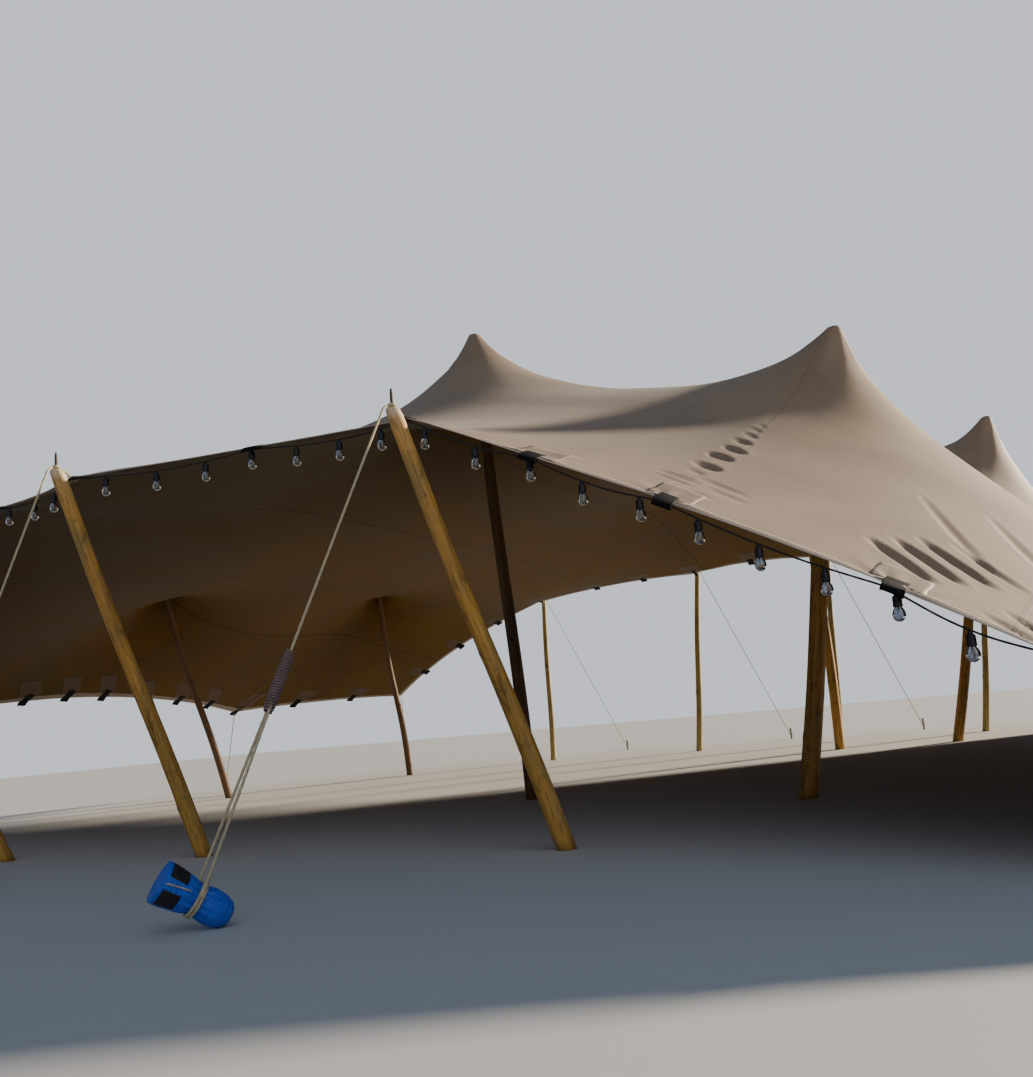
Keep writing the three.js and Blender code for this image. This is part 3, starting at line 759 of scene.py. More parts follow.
def tighten_net():
    columns, rows = len(net_u), len(net_v)
    tension = np.ones((rows, columns))
    for pole in KING_POLES.values():
        distance = np.hypot(net_u[None, :] - pole["u"], net_v[:, None] - pole["v"])
        tension += HEAD_PULL / np.maximum(distance, CAP_REACH)
    width_u, width_v = share_of_cloth(net_u), share_of_cloth(net_v)
    balance = np.zeros((rows * columns, rows * columns))
    for j in range(rows):
        for i in range(columns):
            for a, b in ((i + 1, j), (i, j + 1)):
                if a == columns or b == rows:
                    continue
                length = net_u[a] - net_u[i] + net_v[b] - net_v[j]
                across = width_v[j] if a > i else width_u[i]
                cloth_pull = across * (tension[j, i] + tension[b, a]) / 2
                pull = (cloth_pull + hem_pull(i, j, a > i)) / length
                here, there = j * columns + i, b * columns + a
                balance[here, there] -= pull
                balance[there, here] -= pull
                balance[here, here] += pull
                balance[there, there] += pull
    fixed = np.array([j * columns + i for i, j in held])
    knots = np.zeros((rows * columns, 3))
    knots[fixed] = list(held.values())
    free = np.setdiff1d(np.arange(rows * columns), fixed)
    load = -balance[np.ix_(free, fixed)] @ knots[fixed]
    knots[free] = np.linalg.solve(balance[np.ix_(free, free)], load)
    return knots.reshape(rows, columns, 3)


net = tighten_net()
print("net solved, highest knot", round(float(net[..., 2].max())), "mm")

# %% [markdown]
# ## From the net to cloth
#
# The net is coarse, and cloth is smooth, so every line of it becomes a cubic curve through its
# knots. At the eyes of the hem the real edge comes to a point, so there the curve keeps a corner
# instead of rounding it off.

# %% Smooth curves through the net
def cubic(t, start, leaving, end, arriving):
    """A cubic from start to end; leaving and arriving are its slopes there for t from 0 to 1."""
    first = (2 * t ** 3 - 3 * t ** 2 + 1) * start + (t ** 3 - 2 * t ** 2 + t) * leaving
    return first + (3 * t ** 2 - 2 * t ** 3) * end + (t ** 3 - t ** 2) * arriving


def smooth_through(lines, knots, corner, places):
    slope = np.diff(knots, axis=0) / np.diff(lines)[:, None]
    tangent = np.empty_like(knots)
    tangent[1:-1] = (knots[2:] - knots[:-2]) / (lines[2:] - lines[:-2])[:, None]
    tangent[0] = 1.5 * slope[0] - 0.5 * tangent[1]
    tangent[-1] = 1.5 * slope[-1] - 0.5 * tangent[-2]
    leaving, arriving = tangent.copy(), tangent.copy()
    leaving[:-1] = np.where(corner[:-1], 1.5 * slope - 0.5 * tangent[1:], tangent[:-1])
    arriving[1:] = np.where(corner[1:], 1.5 * slope - 0.5 * tangent[:-1], tangent[1:])
    k = np.clip(np.searchsorted(lines, places, side="right") - 1, 0, len(lines) - 2)
    t = ((places - lines[k]) / (lines[k + 1] - lines[k]))[:, None]
    span = (lines[k + 1] - lines[k])[:, None]
    return cubic(t, knots[k], span * leaving[k], knots[k + 1], span * arriving[k + 1])


def fine_lines(marks, close, near, far):
    """Lines through every mark, near apart inside the close range and far apart outside it."""
    marks = sorted({*marks, *close})
    lines = [marks[0]]
    for before, after in zip(marks, marks[1:]):
        spacing = near if close[0] <= (before + after) / 2 <= close[1] else far
        cells = math.ceil((after - before) / spacing)
        lines += [before + (after - before) * k / cells for k in range(1, cells + 1)]
    return np.array(lines, dtype=float)


HEM_WIDTH = 50
DOME_LINES = (-110, -78, -50, -30, -15, 15, 30, 50, 78, 110)
CREASED_U, CREASED_V = (2950, 5350), (-5000, -2850)
NEAR_STEP, FAR_STEP = 28, 115
dome_u = [head + step for head in head_u for step in DOME_LINES]
dome_v = [head + step for head in head_v for step in DOME_LINES]
hem_lines_u = [CLOTH["left"] + HEM_WIDTH, CLOTH["right"] - HEM_WIDTH]
hem_lines_v = [CLOTH["front"] + HEM_WIDTH, CLOTH["back"] - HEM_WIDTH]
fine_u = fine_lines([*net_u, *dome_u, *hem_lines_u], CREASED_U, NEAR_STEP, FAR_STEP)
fine_v = fine_lines([*net_v, *dome_v, *hem_lines_v], CREASED_V, NEAR_STEP, FAR_STEP)
hem_corner = np.zeros((len(net_v), len(net_u), 3), dtype=bool)
for i, j in held:
    hem_corner[j, i] = i in (0, len(net_u) - 1) or j in (0, len(net_v) - 1)


def fine_sheet():
    rows, columns = len(net_v), len(net_u)
    lines = net.transpose(1, 0, 2).reshape(columns, -1)
    corner = hem_corner.transpose(1, 0, 2).reshape(columns, -1)
    across = smooth_through(net_u, lines, corner, fine_u).reshape(len(fine_u), rows, 3)
    lines = across.transpose(1, 0, 2).reshape(rows, -1)
    along = smooth_through(net_v, lines, np.zeros_like(lines, dtype=bool), fine_v)
    return along.reshape(len(fine_v), len(fine_u), 3)


sheet = fine_sheet()
grid_u, grid_v = np.meshgrid(fine_u, fine_v)
print("fine sheet of", len(fine_u), "by", len(fine_v), "points")

# %% [markdown]
# ## The peaks
#
# Over a pole's round head the cloth makes a small dome and then falls away in a hollow cone. The
# net's square cap is too blunt for that, so round each head the sheet is drawn again along
# spokes: one cubic curve from the rim of the dome out to the sheet that is already there, meeting
# it with the same slope.

# %% Draw the peaks along spokes
DOME_RIM, DOME_DROP, SPOKE_REACH = 40.0, 3.0, 430.0
SLOPE_STEP = 60
STEEPER_AT_HEAD = (0.9, 0.9, 1.35)


def between(field, u, v):
    """Values of a fine grid at cloth places u, v, on the same triangles that make the sheet."""
    i = np.clip(np.searchsorted(fine_u, u, side="right") - 1, 0, len(fine_u) - 2)
    j = np.clip(np.searchsorted(fine_v, v, side="right") - 1, 0, len(fine_v) - 2)
    a = ((u - fine_u[i]) / (fine_u[i + 1] - fine_u[i]))[..., None]
    b = ((v - fine_v[j]) / (fine_v[j + 1] - fine_v[j]))[..., None]
    right, above = field[j, i + 1], field[j + 1, i]
    lower = field[j, i] * (1 - a - b) + right * a + above * b
    upper = field[j + 1, i + 1] * (a + b - 1) + above * (1 - a) + right * (1 - b)
    return np.where(a + b < 1, lower, upper)


def draw_peak(points, pole):
    du, dv = grid_u - pole["u"], grid_v - pole["v"]
    distance = np.hypot(du, dv)
    chosen = distance < SPOKE_REACH
    d = distance[chosen]
    east, north = du[chosen] / np.maximum(d, 1e-6), dv[chosen] / np.maximum(d, 1e-6)
    top = np.array(pole["head"], float) + (0, 0, CAP_LIFT)
    outer, beyond = (between(points, pole["u"] + reach * east, pole["v"] + reach * north)
                     for reach in (SPOKE_REACH, SPOKE_REACH + SLOPE_STEP))
    spoke = np.stack([east, north, np.zeros_like(east)], axis=1)
    rim = top + DOME_RIM * spoke - (0, 0, DOME_DROP)
    span = SPOKE_REACH - DOME_RIM
    fall = (outer - rim) / span
    end = (beyond - outer) / SLOPE_STEP
    t = np.clip((d - DOME_RIM) / span, 0, 1)[:, None]
    curve = cubic(t, rim, span * fall * STEEPER_AT_HEAD, outer, span * end)
    dome = top + d[:, None] * spoke - DOME_DROP * (d[:, None] / DOME_RIM) ** 2 * (0, 0, 1)
    drawn = points.copy()
    drawn[chosen] = np.where(d[:, None] < DOME_RIM, dome, curve)
    return drawn


for pole in KING_POLES.values():
    sheet = draw_peak(sheet, pole)
print("peaks drawn, top at", round(float(sheet[..., 2].max())), "mm")

# %% [markdown]
# ## Folds and pleats
#
# What makes it read as cloth is where the tension is uneven: a ladder of short pleats runs from a
# peak down to a strap of the hem, long folds lie slack beside the low corner, and small creases
# fan out from every eye. Each is a small push along the normal, so the sheet stays one surface.

# %% Helpers for pushing the sheet
def sheet_normals(points):
    along = np.gradient(points, axis=1)
    across = np.gradient(points, axis=0)
    normals = np.cross(along, across)
    return normals / np.linalg.norm(normals, axis=2, keepdims=True)


def bell(distance, width):
    return np.exp(-((distance / width) ** 2))


def seeded_waves(x, y, seed, size, terms=6):
    chance = np.random.default_rng(seed)
    total = np.zeros_like(x)
    for _ in range(terms):
        angle, phase = chance.uniform(0, math.tau), chance.uniform(0, math.tau)
        scale = chance.uniform(0.6, 1.6)
        along = x * math.cos(angle) + y * math.sin(angle)
        total += np.sin(along * math.tau * scale / size + phase)
    return total / terms


print("a bell falls to", round(float(bell(1.0, 1.0)), 3), "one width from its middle")


# %% A pleat: one slack furrow between two tight ridges
def crest(distance, width):
    """A narrow ridge: steep close to its line, and smooth on the very top."""
    return np.exp(1 - np.sqrt(1 + (distance / width) ** 2))


def pleat(start, end, width, depth):
    """A furrow that is narrow and shallow at its ends, with a tight ridge along each side."""
    start, end = np.array(start, float), np.array(end, float)
    length = np.linalg.norm(end - start)
    along = (end - start) / length
    s = ((grid_u - start[0]) * along[0] + (grid_v - start[1]) * along[1]) / length
    t = (grid_u - start[0]) * -along[1] + (grid_v - start[1]) * along[0]
    lens = np.clip(1 - (2 * s - 1) ** 2, 0, 1)
    half = width * (0.35 + 0.65 * np.sqrt(lens))
    rim = 1.15 * half
    ridge = 0.55 * crest(t - rim, 0.40 * width) + 0.40 * crest(t + rim, 0.40 * width)
    run_out = np.clip(1.25 - np.abs(2 * s - 1), 0, 1) * 0.8
    return depth * (ridge * run_out * bell(t, 2.6 * width) - lens ** 0.8 * bell(t, half))


def fan(centre, reach, creases, depth, seed):
    """Creases that spread from one point and die out at reach."""
    du, dv = grid_u - centre[0], grid_v - centre[1]
    distance = np.hypot(du, dv)
    angle = np.arctan2(dv, du)
    strength = np.clip(distance / reach * 4, 0, 1) * bell(distance, reach)
    wobble = 0.8 * seeded_waves(grid_u, grid_v, seed, 500)
    return depth * strength * np.sin(angle * creases + wobble + seed)


sample = pleat((3000, -4000), (3900, -4000), 90, 20)
print("a pleat 20 mm deep lifts its sides by", round(float(sample.max()), 1), "mm")


# %% The ladder, the long folds and the small crinkles
LADDER = [  # middle u, middle v, half length, tilt, width, depth
    (3150, -4345, 66, 20, 38, 7), (3158, -4175, 98, 14, 54, 19), (3148, -3940, 92, 8, 50, 21),
    (3166, -3745, 84, 16, 45, 18), (3152, -3565, 68, 6, 38, 14), (3162, -3425, 48, 12, 30, 9),
    (3156, -3315, 36, 6, 25, 6), (3160, -3225, 28, 8, 22, 4),
]
LONG_FOLDS = [  # start, end, width, depth
    ((4080, -4400), (4470, -4730), 46, 24), ((4170, -4240), (4570, -4580), 46, 25),
    ((4250, -4070), (4680, -4420), 46, 24), ((4390, -3930), (4780, -4250), 42, 16),
    ((4120, -3300), (4620, -4170), 38, 13), ((4430, -3050), (4900, -3900), 40, 13),
    ((4640, -4850), (4940, -4975), 34, 12), ((4720, -4690), (5090, -4915), 40, 17),
    ((4850, -4530), (5230, -4780), 42, 18), ((4980, -4360), (5370, -4620), 42, 17),
    ((5120, -4180), (5500, -4440), 42, 14),
]
CRINKLES = [  # start, end, width, depth
    ((2310, -4720), (2660, -4640), 26, 7), ((2400, -4860), (2790, -4790), 24, 6),
    ((2330, -4600), (2520, -4560), 24, 5), ((2980, -4500), (3260, -4530), 26, 9),
    ((2990, -4590), (3250, -4620), 26, 8), ((3180, -4430), (3520, -4480), 28, 8),
    ((3290, -4560), (3560, -4610), 26, 7), ((3250, -4700), (3420, -4725), 24, 6),
    ((1060, -2420), (1250, -2290), 34, 8), ((1110, -1800), (1290, -1700), 34, 8),
    ((1240, -2080), (1370, -2010), 30, 5), ((-5700, 2900), (-5350, 3250), 34, 9),
    ((-5450, 2750), (-5150, 3000), 34, 8), ((-5250, 3400), (-4900, 3800), 34, 10),
    ((-5000, 3050), (-4700, 3500), 30, 7), ((-4800, 3900), (-4450, 4300), 34, 9),
    ((-5650, 3700), (-5300, 4150), 34, 9), ((-5900, 3200), (-5650, 3500), 30, 8),
    ((-5350, 4300), (-5000, 4700), 34, 8), ((-4550, 4450), (-4200, 4750), 32, 7),
]
pushes = np.zeros_like(grid_u)
for u, v, half_length, tilt, width, depth in LADDER:
    pushes += pleat((u - half_length, v + tilt), (u + half_length, v - tilt), width, depth)
for start, end, width, depth in LONG_FOLDS + CRINKLES:
    pushes += pleat(start, end, width, depth)
print(len(LADDER), "pleats,", len(LONG_FOLDS), "long folds,", len(CRINKLES), "crinkles, deepest",
      round(float(-pushes.min()), 1), "mm")

# %% Creases round everything that pulls
FRONT_STRAPS = [2450, 3230, 4340]
EYE_FAN = dict(reach=420, creases=11, depth=7)
HEAD_FAN = dict(reach=330, creases=9, depth=3)
STRAP_FAN = dict(reach=260, creases=9, depth=4)
SWELL_DEPTH, SWELL_SIZE, SWELL_SEED = 2.5, 1900, 9
CAP_CLEAR, CAP_BLEND = 70, 120
for k, (i, j) in enumerate(sorted(held)):
    if hem_corner[j, i, 0]:
        pushes += fan((net_u[i], net_v[j]), seed=k, **EYE_FAN)
for k, pole in enumerate(KING_POLES.values()):
    pushes += fan((pole["u"], pole["v"]), seed=k + 40, **HEAD_FAN)
for k, u in enumerate(FRONT_STRAPS):
    pushes += fan((u, CLOTH["front"]), seed=k + 60, **STRAP_FAN)
pushes += SWELL_DEPTH * seeded_waves(grid_u, grid_v, SWELL_SEED, SWELL_SIZE)
over_cap = np.ones_like(grid_u)
for pole in KING_POLES.values():
    distance = np.hypot(grid_u - pole["u"], grid_v - pole["v"])
    over_cap *= np.clip((distance - CAP_CLEAR) / CAP_BLEND, 0, 1)
sheet = sheet + (pushes * over_cap)[..., None] * sheet_normals(sheet)
print("creases added")

# %% Bring the sheet to its place
cloth_points = sheet / 1000 + np.array(plan_shift)
cloth_normals = sheet_normals(cloth_points)
print("sheet spans", cloth_points.min((0, 1)).round(3), "to", cloth_points.max((0, 1)).round(3))

# %% [markdown]
# ## The canopy
#
# The cloth itself is two millimetres thick. Both skins and the rim are built in one closed mesh;
# the lower skin gets the inside finish, whose darkness is painted shade. Its UV map holds the flat
# cloth in metres.

# %% Build the canopy
CLOTH_HALF = 0.001


def grid_triangles(rows, columns):
    """Every cell is cut along the same diagonal, so that two skins a hair apart never cross."""
    j, i = np.meshgrid(np.arange(rows - 1), np.arange(columns - 1), indexing="ij")
    corner = (j * columns + i).ravel()
    right, above = corner + 1, corner + columns
    halves = (corner, right, above), (right, above + 1, above)
    return np.concatenate([np.stack(half, axis=1) for half in halves])


def rim_loop(rows, columns):
    index = np.arange(rows * columns).reshape(rows, columns)
    return np.concatenate([index[0, :-1], index[:-1, -1], index[-1, :0:-1], index[:0:-1, 0]])


def shell_faces(rows, columns, first_inside):
    """Faces of a thin closed shell made of two like grids, with quads round its rim."""
    count = rows * columns
    skin, rim = grid_triangles(rows, columns), rim_loop(rows, columns)
    after = np.roll(rim, -1)
    if first_inside:
        skins, walls = (skin[:, ::-1], skin + count), (rim, after, after + count, rim + count)
    else:
        skins, walls = (skin, skin[:, ::-1] + count), (rim, rim + count, after + count, after)
    return [*skins[0].tolist(), *skins[1].tolist(), *np.stack(walls, axis=1).tolist()]


def give_map(thing, name, values):
    """One map value for every point, carried to every corner."""
    corners = np.empty(len(thing.data.loops), dtype=np.int32)
    thing.data.loops.foreach_get("vertex_index", corners)
    flat = np.asarray(values, dtype=np.float32)[corners]
    thing.data.uv_layers.new(name=name).data.foreach_set("uv", flat.ravel())


def ride_as(thing, slot, *nodes):
    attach(thing, "root")
    if nodes:
        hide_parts(*nodes)
    return thing


def build_canopy():
    rows, columns = grid_u.shape
    upper = (cloth_points + CLOTH_HALF * cloth_normals).reshape(-1, 3)
    lower = (cloth_points - CLOTH_HALF * cloth_normals).reshape(-1, 3)
    count = rows * columns
    rim = rim_loop(rows, columns)
    after = np.roll(rim, -1)
    skin = grid_triangles(rows, columns)
    halves = (rim + count, after + count, after), (rim + count, after, rim)
    edge = np.concatenate([np.stack(half, axis=1) for half in halves])
    faces = np.concatenate([skin, skin[:, ::-1] + count, edge])
    skins = np.concatenate([upper, lower])
    canopy = mesh_object("canopy_sheet", skins, faces, [cloth_outside, cloth_inside_painted_shade])
    inside = np.zeros(len(faces), dtype=np.int32)
    inside[len(skin):2 * len(skin)] = 1
    canopy.data.polygons.foreach_set("material_index", inside)
    flat = np.stack([grid_u, grid_v], axis=2).reshape(-1, 2) / 1000
    give_map(canopy, CLOTH_MAP, np.concatenate([flat, flat]))
    return canopy


canopy = ride_as(build_canopy(), "stretch_fabric", "canopy")
print("canopy faces:", len(canopy.data.polygons))

# %% Places on the finished sheet
def on_sheet(u, v):
    """Points and normals of the sheet at cloth places u, v: millimetres in, metres out."""
    u, v = np.broadcast_arrays(np.asarray(u, float), np.asarray(v, float))
    return between(cloth_points, u, v), between(cloth_normals, u, v)


def kept_on_cloth(u, v):
    return np.clip(u, CLOTH["left"], CLOTH["right"]), np.clip(v, CLOTH["front"], CLOTH["back"])


print("middle of the front hem at", on_sheet(0, CLOTH["front"])[0].round(2))

# %% [markdown]
# ## The hem
#
# The edge of the cloth is folded into a band five centimetres wide and sewn with two rows of
# stitches. The band is built as a strip that wraps the edge: a small C-shaped section carried
# round the whole cloth. The stitches follow its own map, metres along the hem one way and metres
# across it the other.

# %% Finish of the hem band and patches
BAND_MAP = "band"
EDGE_LINE_CLOTH = linear(214, 200, 182)


def sewn_finish(name, pale, deep, thread, rows, pale_edge_lines=0.0):
    material, tree, shader = start_finish(name, 0.66)
    place = surface_place(tree)
    loops = place_effect(tree, knit, Place=place)
    season = place_effect(tree, weather, Place=place, Size=1.6)
    split = add_node(tree, "ShaderNodeSeparateXYZ")
    feed(tree, split.inputs[0], add_node(tree, "ShaderNodeUVMap", uv_map=BAND_MAP).outputs["UV"])
    stitch = place_effect(tree, stitches, Along=split.outputs["X"], Across=split.outputs["Y"],
                          First_Row=rows[0], Second_Row=rows[1])["Stitch"]
    colour = blend_colour(tree, remap(tree, season["Cloud"], 0.35, 0.65), deep, pale)
    colour = stained(tree, colour, season["Stain"], 0.5, deep)
    colour = stained(tree, colour, season["Dust"], 0.35, thread)
    colour = stained(tree, colour, stitch, 0.8, thread)
    # Two pale lines: along the outer fold of the band and along its inner edge.
    if pale_edge_lines:
        edge_lines = math_node(tree, "SUBTRACT", 1.0, remap(tree, split.outputs["Y"], 0.002, 0.007))
        edge_lines = math_node(tree, "MAXIMUM", edge_lines, remap(tree, split.outputs["Y"], 0.044, 0.048))
        colour = stained(tree, colour, edge_lines, pale_edge_lines, EDGE_LINE_CLOTH)
    feed(tree, shader.inputs["Base Color"], colour)
    vary_roughness(tree, shader, season["Cloud"], 0.60, 0.72)
    relief = math_node(tree, "SUBTRACT", math_node(tree, "MULTIPLY", loops["Height"], 0.3), stitch)
    give_relief(tree, shader, relief, 0.6, 0.0016)
    return material


HEM_ROWS, PATCH_ROWS = (0.012, 0.038), (0.010, 0.010)
hem_cloth = sewn_finish(
    "hem_cloth", linear(150, 134, 120), linear(132, 117, 104), linear(92, 78, 66), HEM_ROWS,
    pale_edge_lines=0.75)
patch_outside = sewn_finish(
    "patch_outside", linear(164, 145, 124), linear(148, 130, 111), linear(106, 89, 74), PATCH_ROWS)
# The inside patches are painted dark like the sheet's inside: painted shade.
patch_inside_painted_shade = sewn_finish(
    "patch_inside_painted_shade", linear(84, 60, 26), linear(66, 47, 20), linear(40, 29, 14), PATCH_ROWS)
print("sewn finishes ready")

# %% Build the hem band
BAND_SECTION = [(50, 1.05), (50, 1.9), (40, 2.4), (24, 2.5), (6, 2.4), (-2.2, 1.1), (-2.2, -1.1),
                (6, -2.4), (24, -2.5), (40, -2.4), (50, -1.9), (50, -1.05), (2, -1.05), (-0.4, 0),
                (2, 1.05)]
EDGE_STEP = 10


def edge_walk():
    """Cloth places once round the edge, beginning at the front left corner."""
    front = [(u, CLOTH["front"]) for u in fine_u[:-1]]
    right = [(CLOTH["right"], v) for v in fine_v[:-1]]
    back = [(u, CLOTH["back"]) for u in fine_u[:0:-1]]
    left = [(CLOTH["left"], v) for v in fine_v[:0:-1]]
    return np.array(front + right + back + left, dtype=float)


def inside_by(places, distance):
    """The same places moved inward along the cloth, which also mitres the corners."""
    u = np.clip(places[:, 0], CLOTH["left"] + distance, CLOTH["right"] - distance)
    v = np.clip(places[:, 1], CLOTH["front"] + distance, CLOTH["back"] - distance)
    return u, v


def band_ring(places, distance, height):
    points, normals = on_sheet(*inside_by(places, max(distance, 0)))
    if distance < 0:
        inner, _ = on_sheet(*inside_by(places, EDGE_STEP))
        points = points + (points - inner) * (-distance / EDGE_STEP)
    return points + normals * (height / 1000)


def closed_band(rings):
    """Faces of a tube whose cross-sections are the given rings; both directions close."""
    rows, columns = len(rings), len(rings[0])
    j, i = np.meshgrid(np.arange(rows), np.arange(columns), indexing="ij")
    after_j, after_i = (j + 1) % rows, (i + 1) % columns
    corners = (j, i), (j, after_i), (after_j, after_i), (after_j, i)
    return np.stack([(row * columns + column).ravel() for row, column in corners], axis=1)


walk = edge_walk()
rings = [band_ring(walk, distance, height) for distance, height in BAND_SECTION]
hem_band = mesh_object("hem_band", np.concatenate(rings), closed_band(rings), [hem_cloth])
walked = np.insert(np.cumsum(np.linalg.norm(np.diff(rings[3], axis=0), axis=1)), 0, 0)
band_map = [np.stack([walked, np.full_like(walked, distance / 1000)], axis=1)
            for distance, _ in BAND_SECTION]
give_map(hem_band, BAND_MAP, np.concatenate(band_map))
ride_as(hem_band, "stretch_fabric")
print("hem band", round(float(walked[-1]), 2), "m round")

# %% [markdown]
# ## Patches and webbing
#
# Where the hem can be pulled, a square patch is sewn to both faces of the cloth and a loop of
# black webbing runs over the edge. The patches follow the creased sheet exactly, a millimetre
# above it, with puckers of their own.

# %% Places along the hem
PULLS_FRONT = [*FRONT_STRAPS, 5200, 730, -1300, -3250, -5150, *(pole["u"] for pole in FRONT_POLES)]
PULLS_BACK = [*(pole["u"] for pole in REAR_POLES),
              -5300, -4300, -3350, -1500, -850, 650, 2350, 3050, 4600, 5300]
PULLS_LEFT = [-4200, -3500, -2750, -1950, -1150, -520, -20, 480, 1100, 1700, 2300, 2950, 3700, 4500]
PULLS_RIGHT = [-4100, -3300, -2600, -1950, -1100, -250, 600, 1450, 2200, 2950, 3700, 4500]
pulls = [(u, CLOTH["front"]) for u in PULLS_FRONT] + [(u, CLOTH["back"]) for u in PULLS_BACK]
pulls += [(CLOTH["left"], v) for v in PULLS_LEFT] + [(CLOTH["right"], v) for v in PULLS_RIGHT]
print("pulling points on the hem:", len(pulls))


def hem_directions(u, v):
    """Inward and sideways steps on the cloth at a place on its edge."""
    if v in (CLOTH["front"], CLOTH["back"]):
        return np.array([0.0, 1.0 if v == CLOTH["front"] else -1.0]), np.array([1.0, 0.0])
    return np.array([1.0 if u == CLOTH["left"] else -1.0, 0.0]), np.array([0.0, 1.0])


# %% Build the patches
PATCH_SIDE, PATCH_CELLS = 250.0, 14
PATCH_UNDER, PATCH_OVER, PUCKER_DEPTH, FLAT_RIM = 0.00105, 0.00125, 0.7, 36
PATCH_SIZES, EDGE_WAVE, PUCKER_SIZE = (0.92, 1.06), 0.02, 110
SLANTED_BEFORE, SLANT = 2600, -0.9


def patch_part(u, v, side, seed):
    """A thin closed square on one face of the sheet."""
    inward, across = hem_directions(u, v)
    chance = np.random.default_rng(seed)
    size = PATCH_SIDE * chance.uniform(*PATCH_SIZES)
    steps = np.linspace(0, 1, PATCH_CELLS)
    a, b = np.meshgrid(steps, np.linspace(-0.5, 0.5, PATCH_CELLS), indexing="ij")
    wavy = 1 + EDGE_WAVE * np.sin(9 * a + seed) * abs(2 * b)
    slant = SLANT if u == CLOTH["left"] and v < SLANTED_BEFORE else 0.0
    inward_by, across_by = HEM_WIDTH + a * size, b * size * wavy + slant * a * size
    points, normals = on_sheet(*kept_on_cloth(
        u + inward[0] * inward_by + across[0] * across_by,
        v + inward[1] * inward_by + across[1] * across_by))
    inner = np.minimum.reduce([a, 1 - a, b + 0.5, 0.5 - b]) * size
    waves = seeded_waves(a * size, b * size * 1.7, seed, PUCKER_SIZE, 5)
    pucker = PUCKER_DEPTH * np.clip(inner / FLAT_RIM, 0, 1) * (1 + waves)
    low = points + normals * side * PATCH_UNDER
    high = points + normals * side * (PATCH_OVER + pucker[..., None] / 1000)
    faces = shell_faces(PATCH_CELLS, PATCH_CELLS, True)
    flat = np.stack([(a + b + 0.5) * size / 1000, inner / 1000], axis=2).reshape(-1, 2)
    skins = np.concatenate([low.reshape(-1, 3), high.reshape(-1, 3)])
    return skins, faces, np.concatenate([flat, flat])


def build_patches(name, side, material):
    parts = [patch_part(u, v, side, k) for k, (u, v) in enumerate(pulls)]
    patches = joined_mesh(name, [(points, faces) for points, faces, _ in parts], material)
    give_map(patches, BAND_MAP, np.concatenate([flat for _, _, flat in parts]))
    return ride_as(patches, "stretch_fabric")


patches_outside = build_patches("hem_patches_outside", 1, patch_outside)
patches_inside = build_patches("hem_patches_inside", -1, patch_inside_painted_shade)
print("patches:", 2 * len(pulls))

# %% Build the webbing loops
WEBBING_THICK, WEBBING_CLEAR = 0.0024, 0.0052
WIDE_TAB, NARROW_TAB, TAB_REACH = 0.085, 0.040, (0.036, 0.050)
TAB_STEPS = (95, 75, 55, 30, 8)
INNER_STEP, ASIDE_STEP, TAB_SAG = 60, 25, 0.35
STRAP_SECTION = [(-0.5, 0.3), (-0.46, 0.5), (0.46, 0.5), (0.5, 0.3),
                 (0.5, -0.3), (0.46, -0.5), (-0.46, -0.5), (-0.5, -0.3)]
pole_places = {pole["u"] for pole in FRONT_POLES + REAR_POLES}


def webbing_width(u, v):
    """A wide tab on the free hem, and a narrow one beside a pole's head."""
    beside_pole = v in (CLOTH["front"], CLOTH["back"]) and u in pole_places
    return NARROW_TAB if beside_pole else WIDE_TAB


def ribbon(path, side, width, thick):
    """A flat strap along a path: its section is a thin rectangle with eased corners."""
    path = np.asarray(path)
    tangent = np.gradient(path, axis=0)
    tangent /= np.linalg.norm(tangent, axis=1, keepdims=True)
    sides = side - tangent * np.sum(side * tangent, axis=1, keepdims=True)
    sides /= np.linalg.norm(sides, axis=1, keepdims=True)
    face = np.cross(tangent, sides)
    rings = [path + sides * (x * width) + face * (y * thick) for x, y in STRAP_SECTION]
    points = np.stack(rings, axis=1).reshape(-1, 3)
    return points, tube_faces(len(path), len(STRAP_SECTION))


def webbing_part(u, v, seed):
    """A loop from the sheet's upper face round the edge and back along its lower face."""
    inward, across = hem_directions(u, v)
    chance = np.random.default_rng(seed + 500)
    reach = chance.uniform(*TAB_REACH)
    path = []
    for distance in TAB_STEPS:
        points, normals = on_sheet(u + inward[0] * distance, v + inward[1] * distance)
        path.append(points + normals * WEBBING_CLEAR)
    edge, edge_normal = on_sheet(u, v)
    inner, _ = on_sheet(u + inward[0] * INNER_STEP, v + inward[1] * INNER_STEP)
    out = edge - inner
    out /= np.linalg.norm(out)
    down = np.array([0, 0, -1.0])
    upper_bend = [(0.010, 0.0060), (reach * 0.6, 0.0085), (reach * 0.92, 0.0060)]
    lower_bend = [(step, -lift) for step, lift in upper_bend[::-1]]
    for step, lift in [*upper_bend, (reach, 0.0), *lower_bend]:
        path.append(edge + out * step + edge_normal * lift + down * step * TAB_SAG)
    for distance in TAB_STEPS[::-1]:
        points, normals = on_sheet(u + inward[0] * distance, v + inward[1] * distance)
        path.append(points - normals * WEBBING_CLEAR)
    left, right = (on_sheet(*kept_on_cloth(u + across[0] * step, v + across[1] * step))[0]
                   for step in (-ASIDE_STEP, ASIDE_STEP))
    aside = (right - left) / np.linalg.norm(right - left)
    return ribbon(path, aside, webbing_width(u, v), WEBBING_THICK)


loop_parts = [webbing_part(u, v, k) for k, (u, v) in enumerate(pulls)]
loops = joined_mesh("hem_webbing_loops", loop_parts, webbing)
ride_as(loops, "stretch_fabric")
print("webbing loops:", len(pulls))

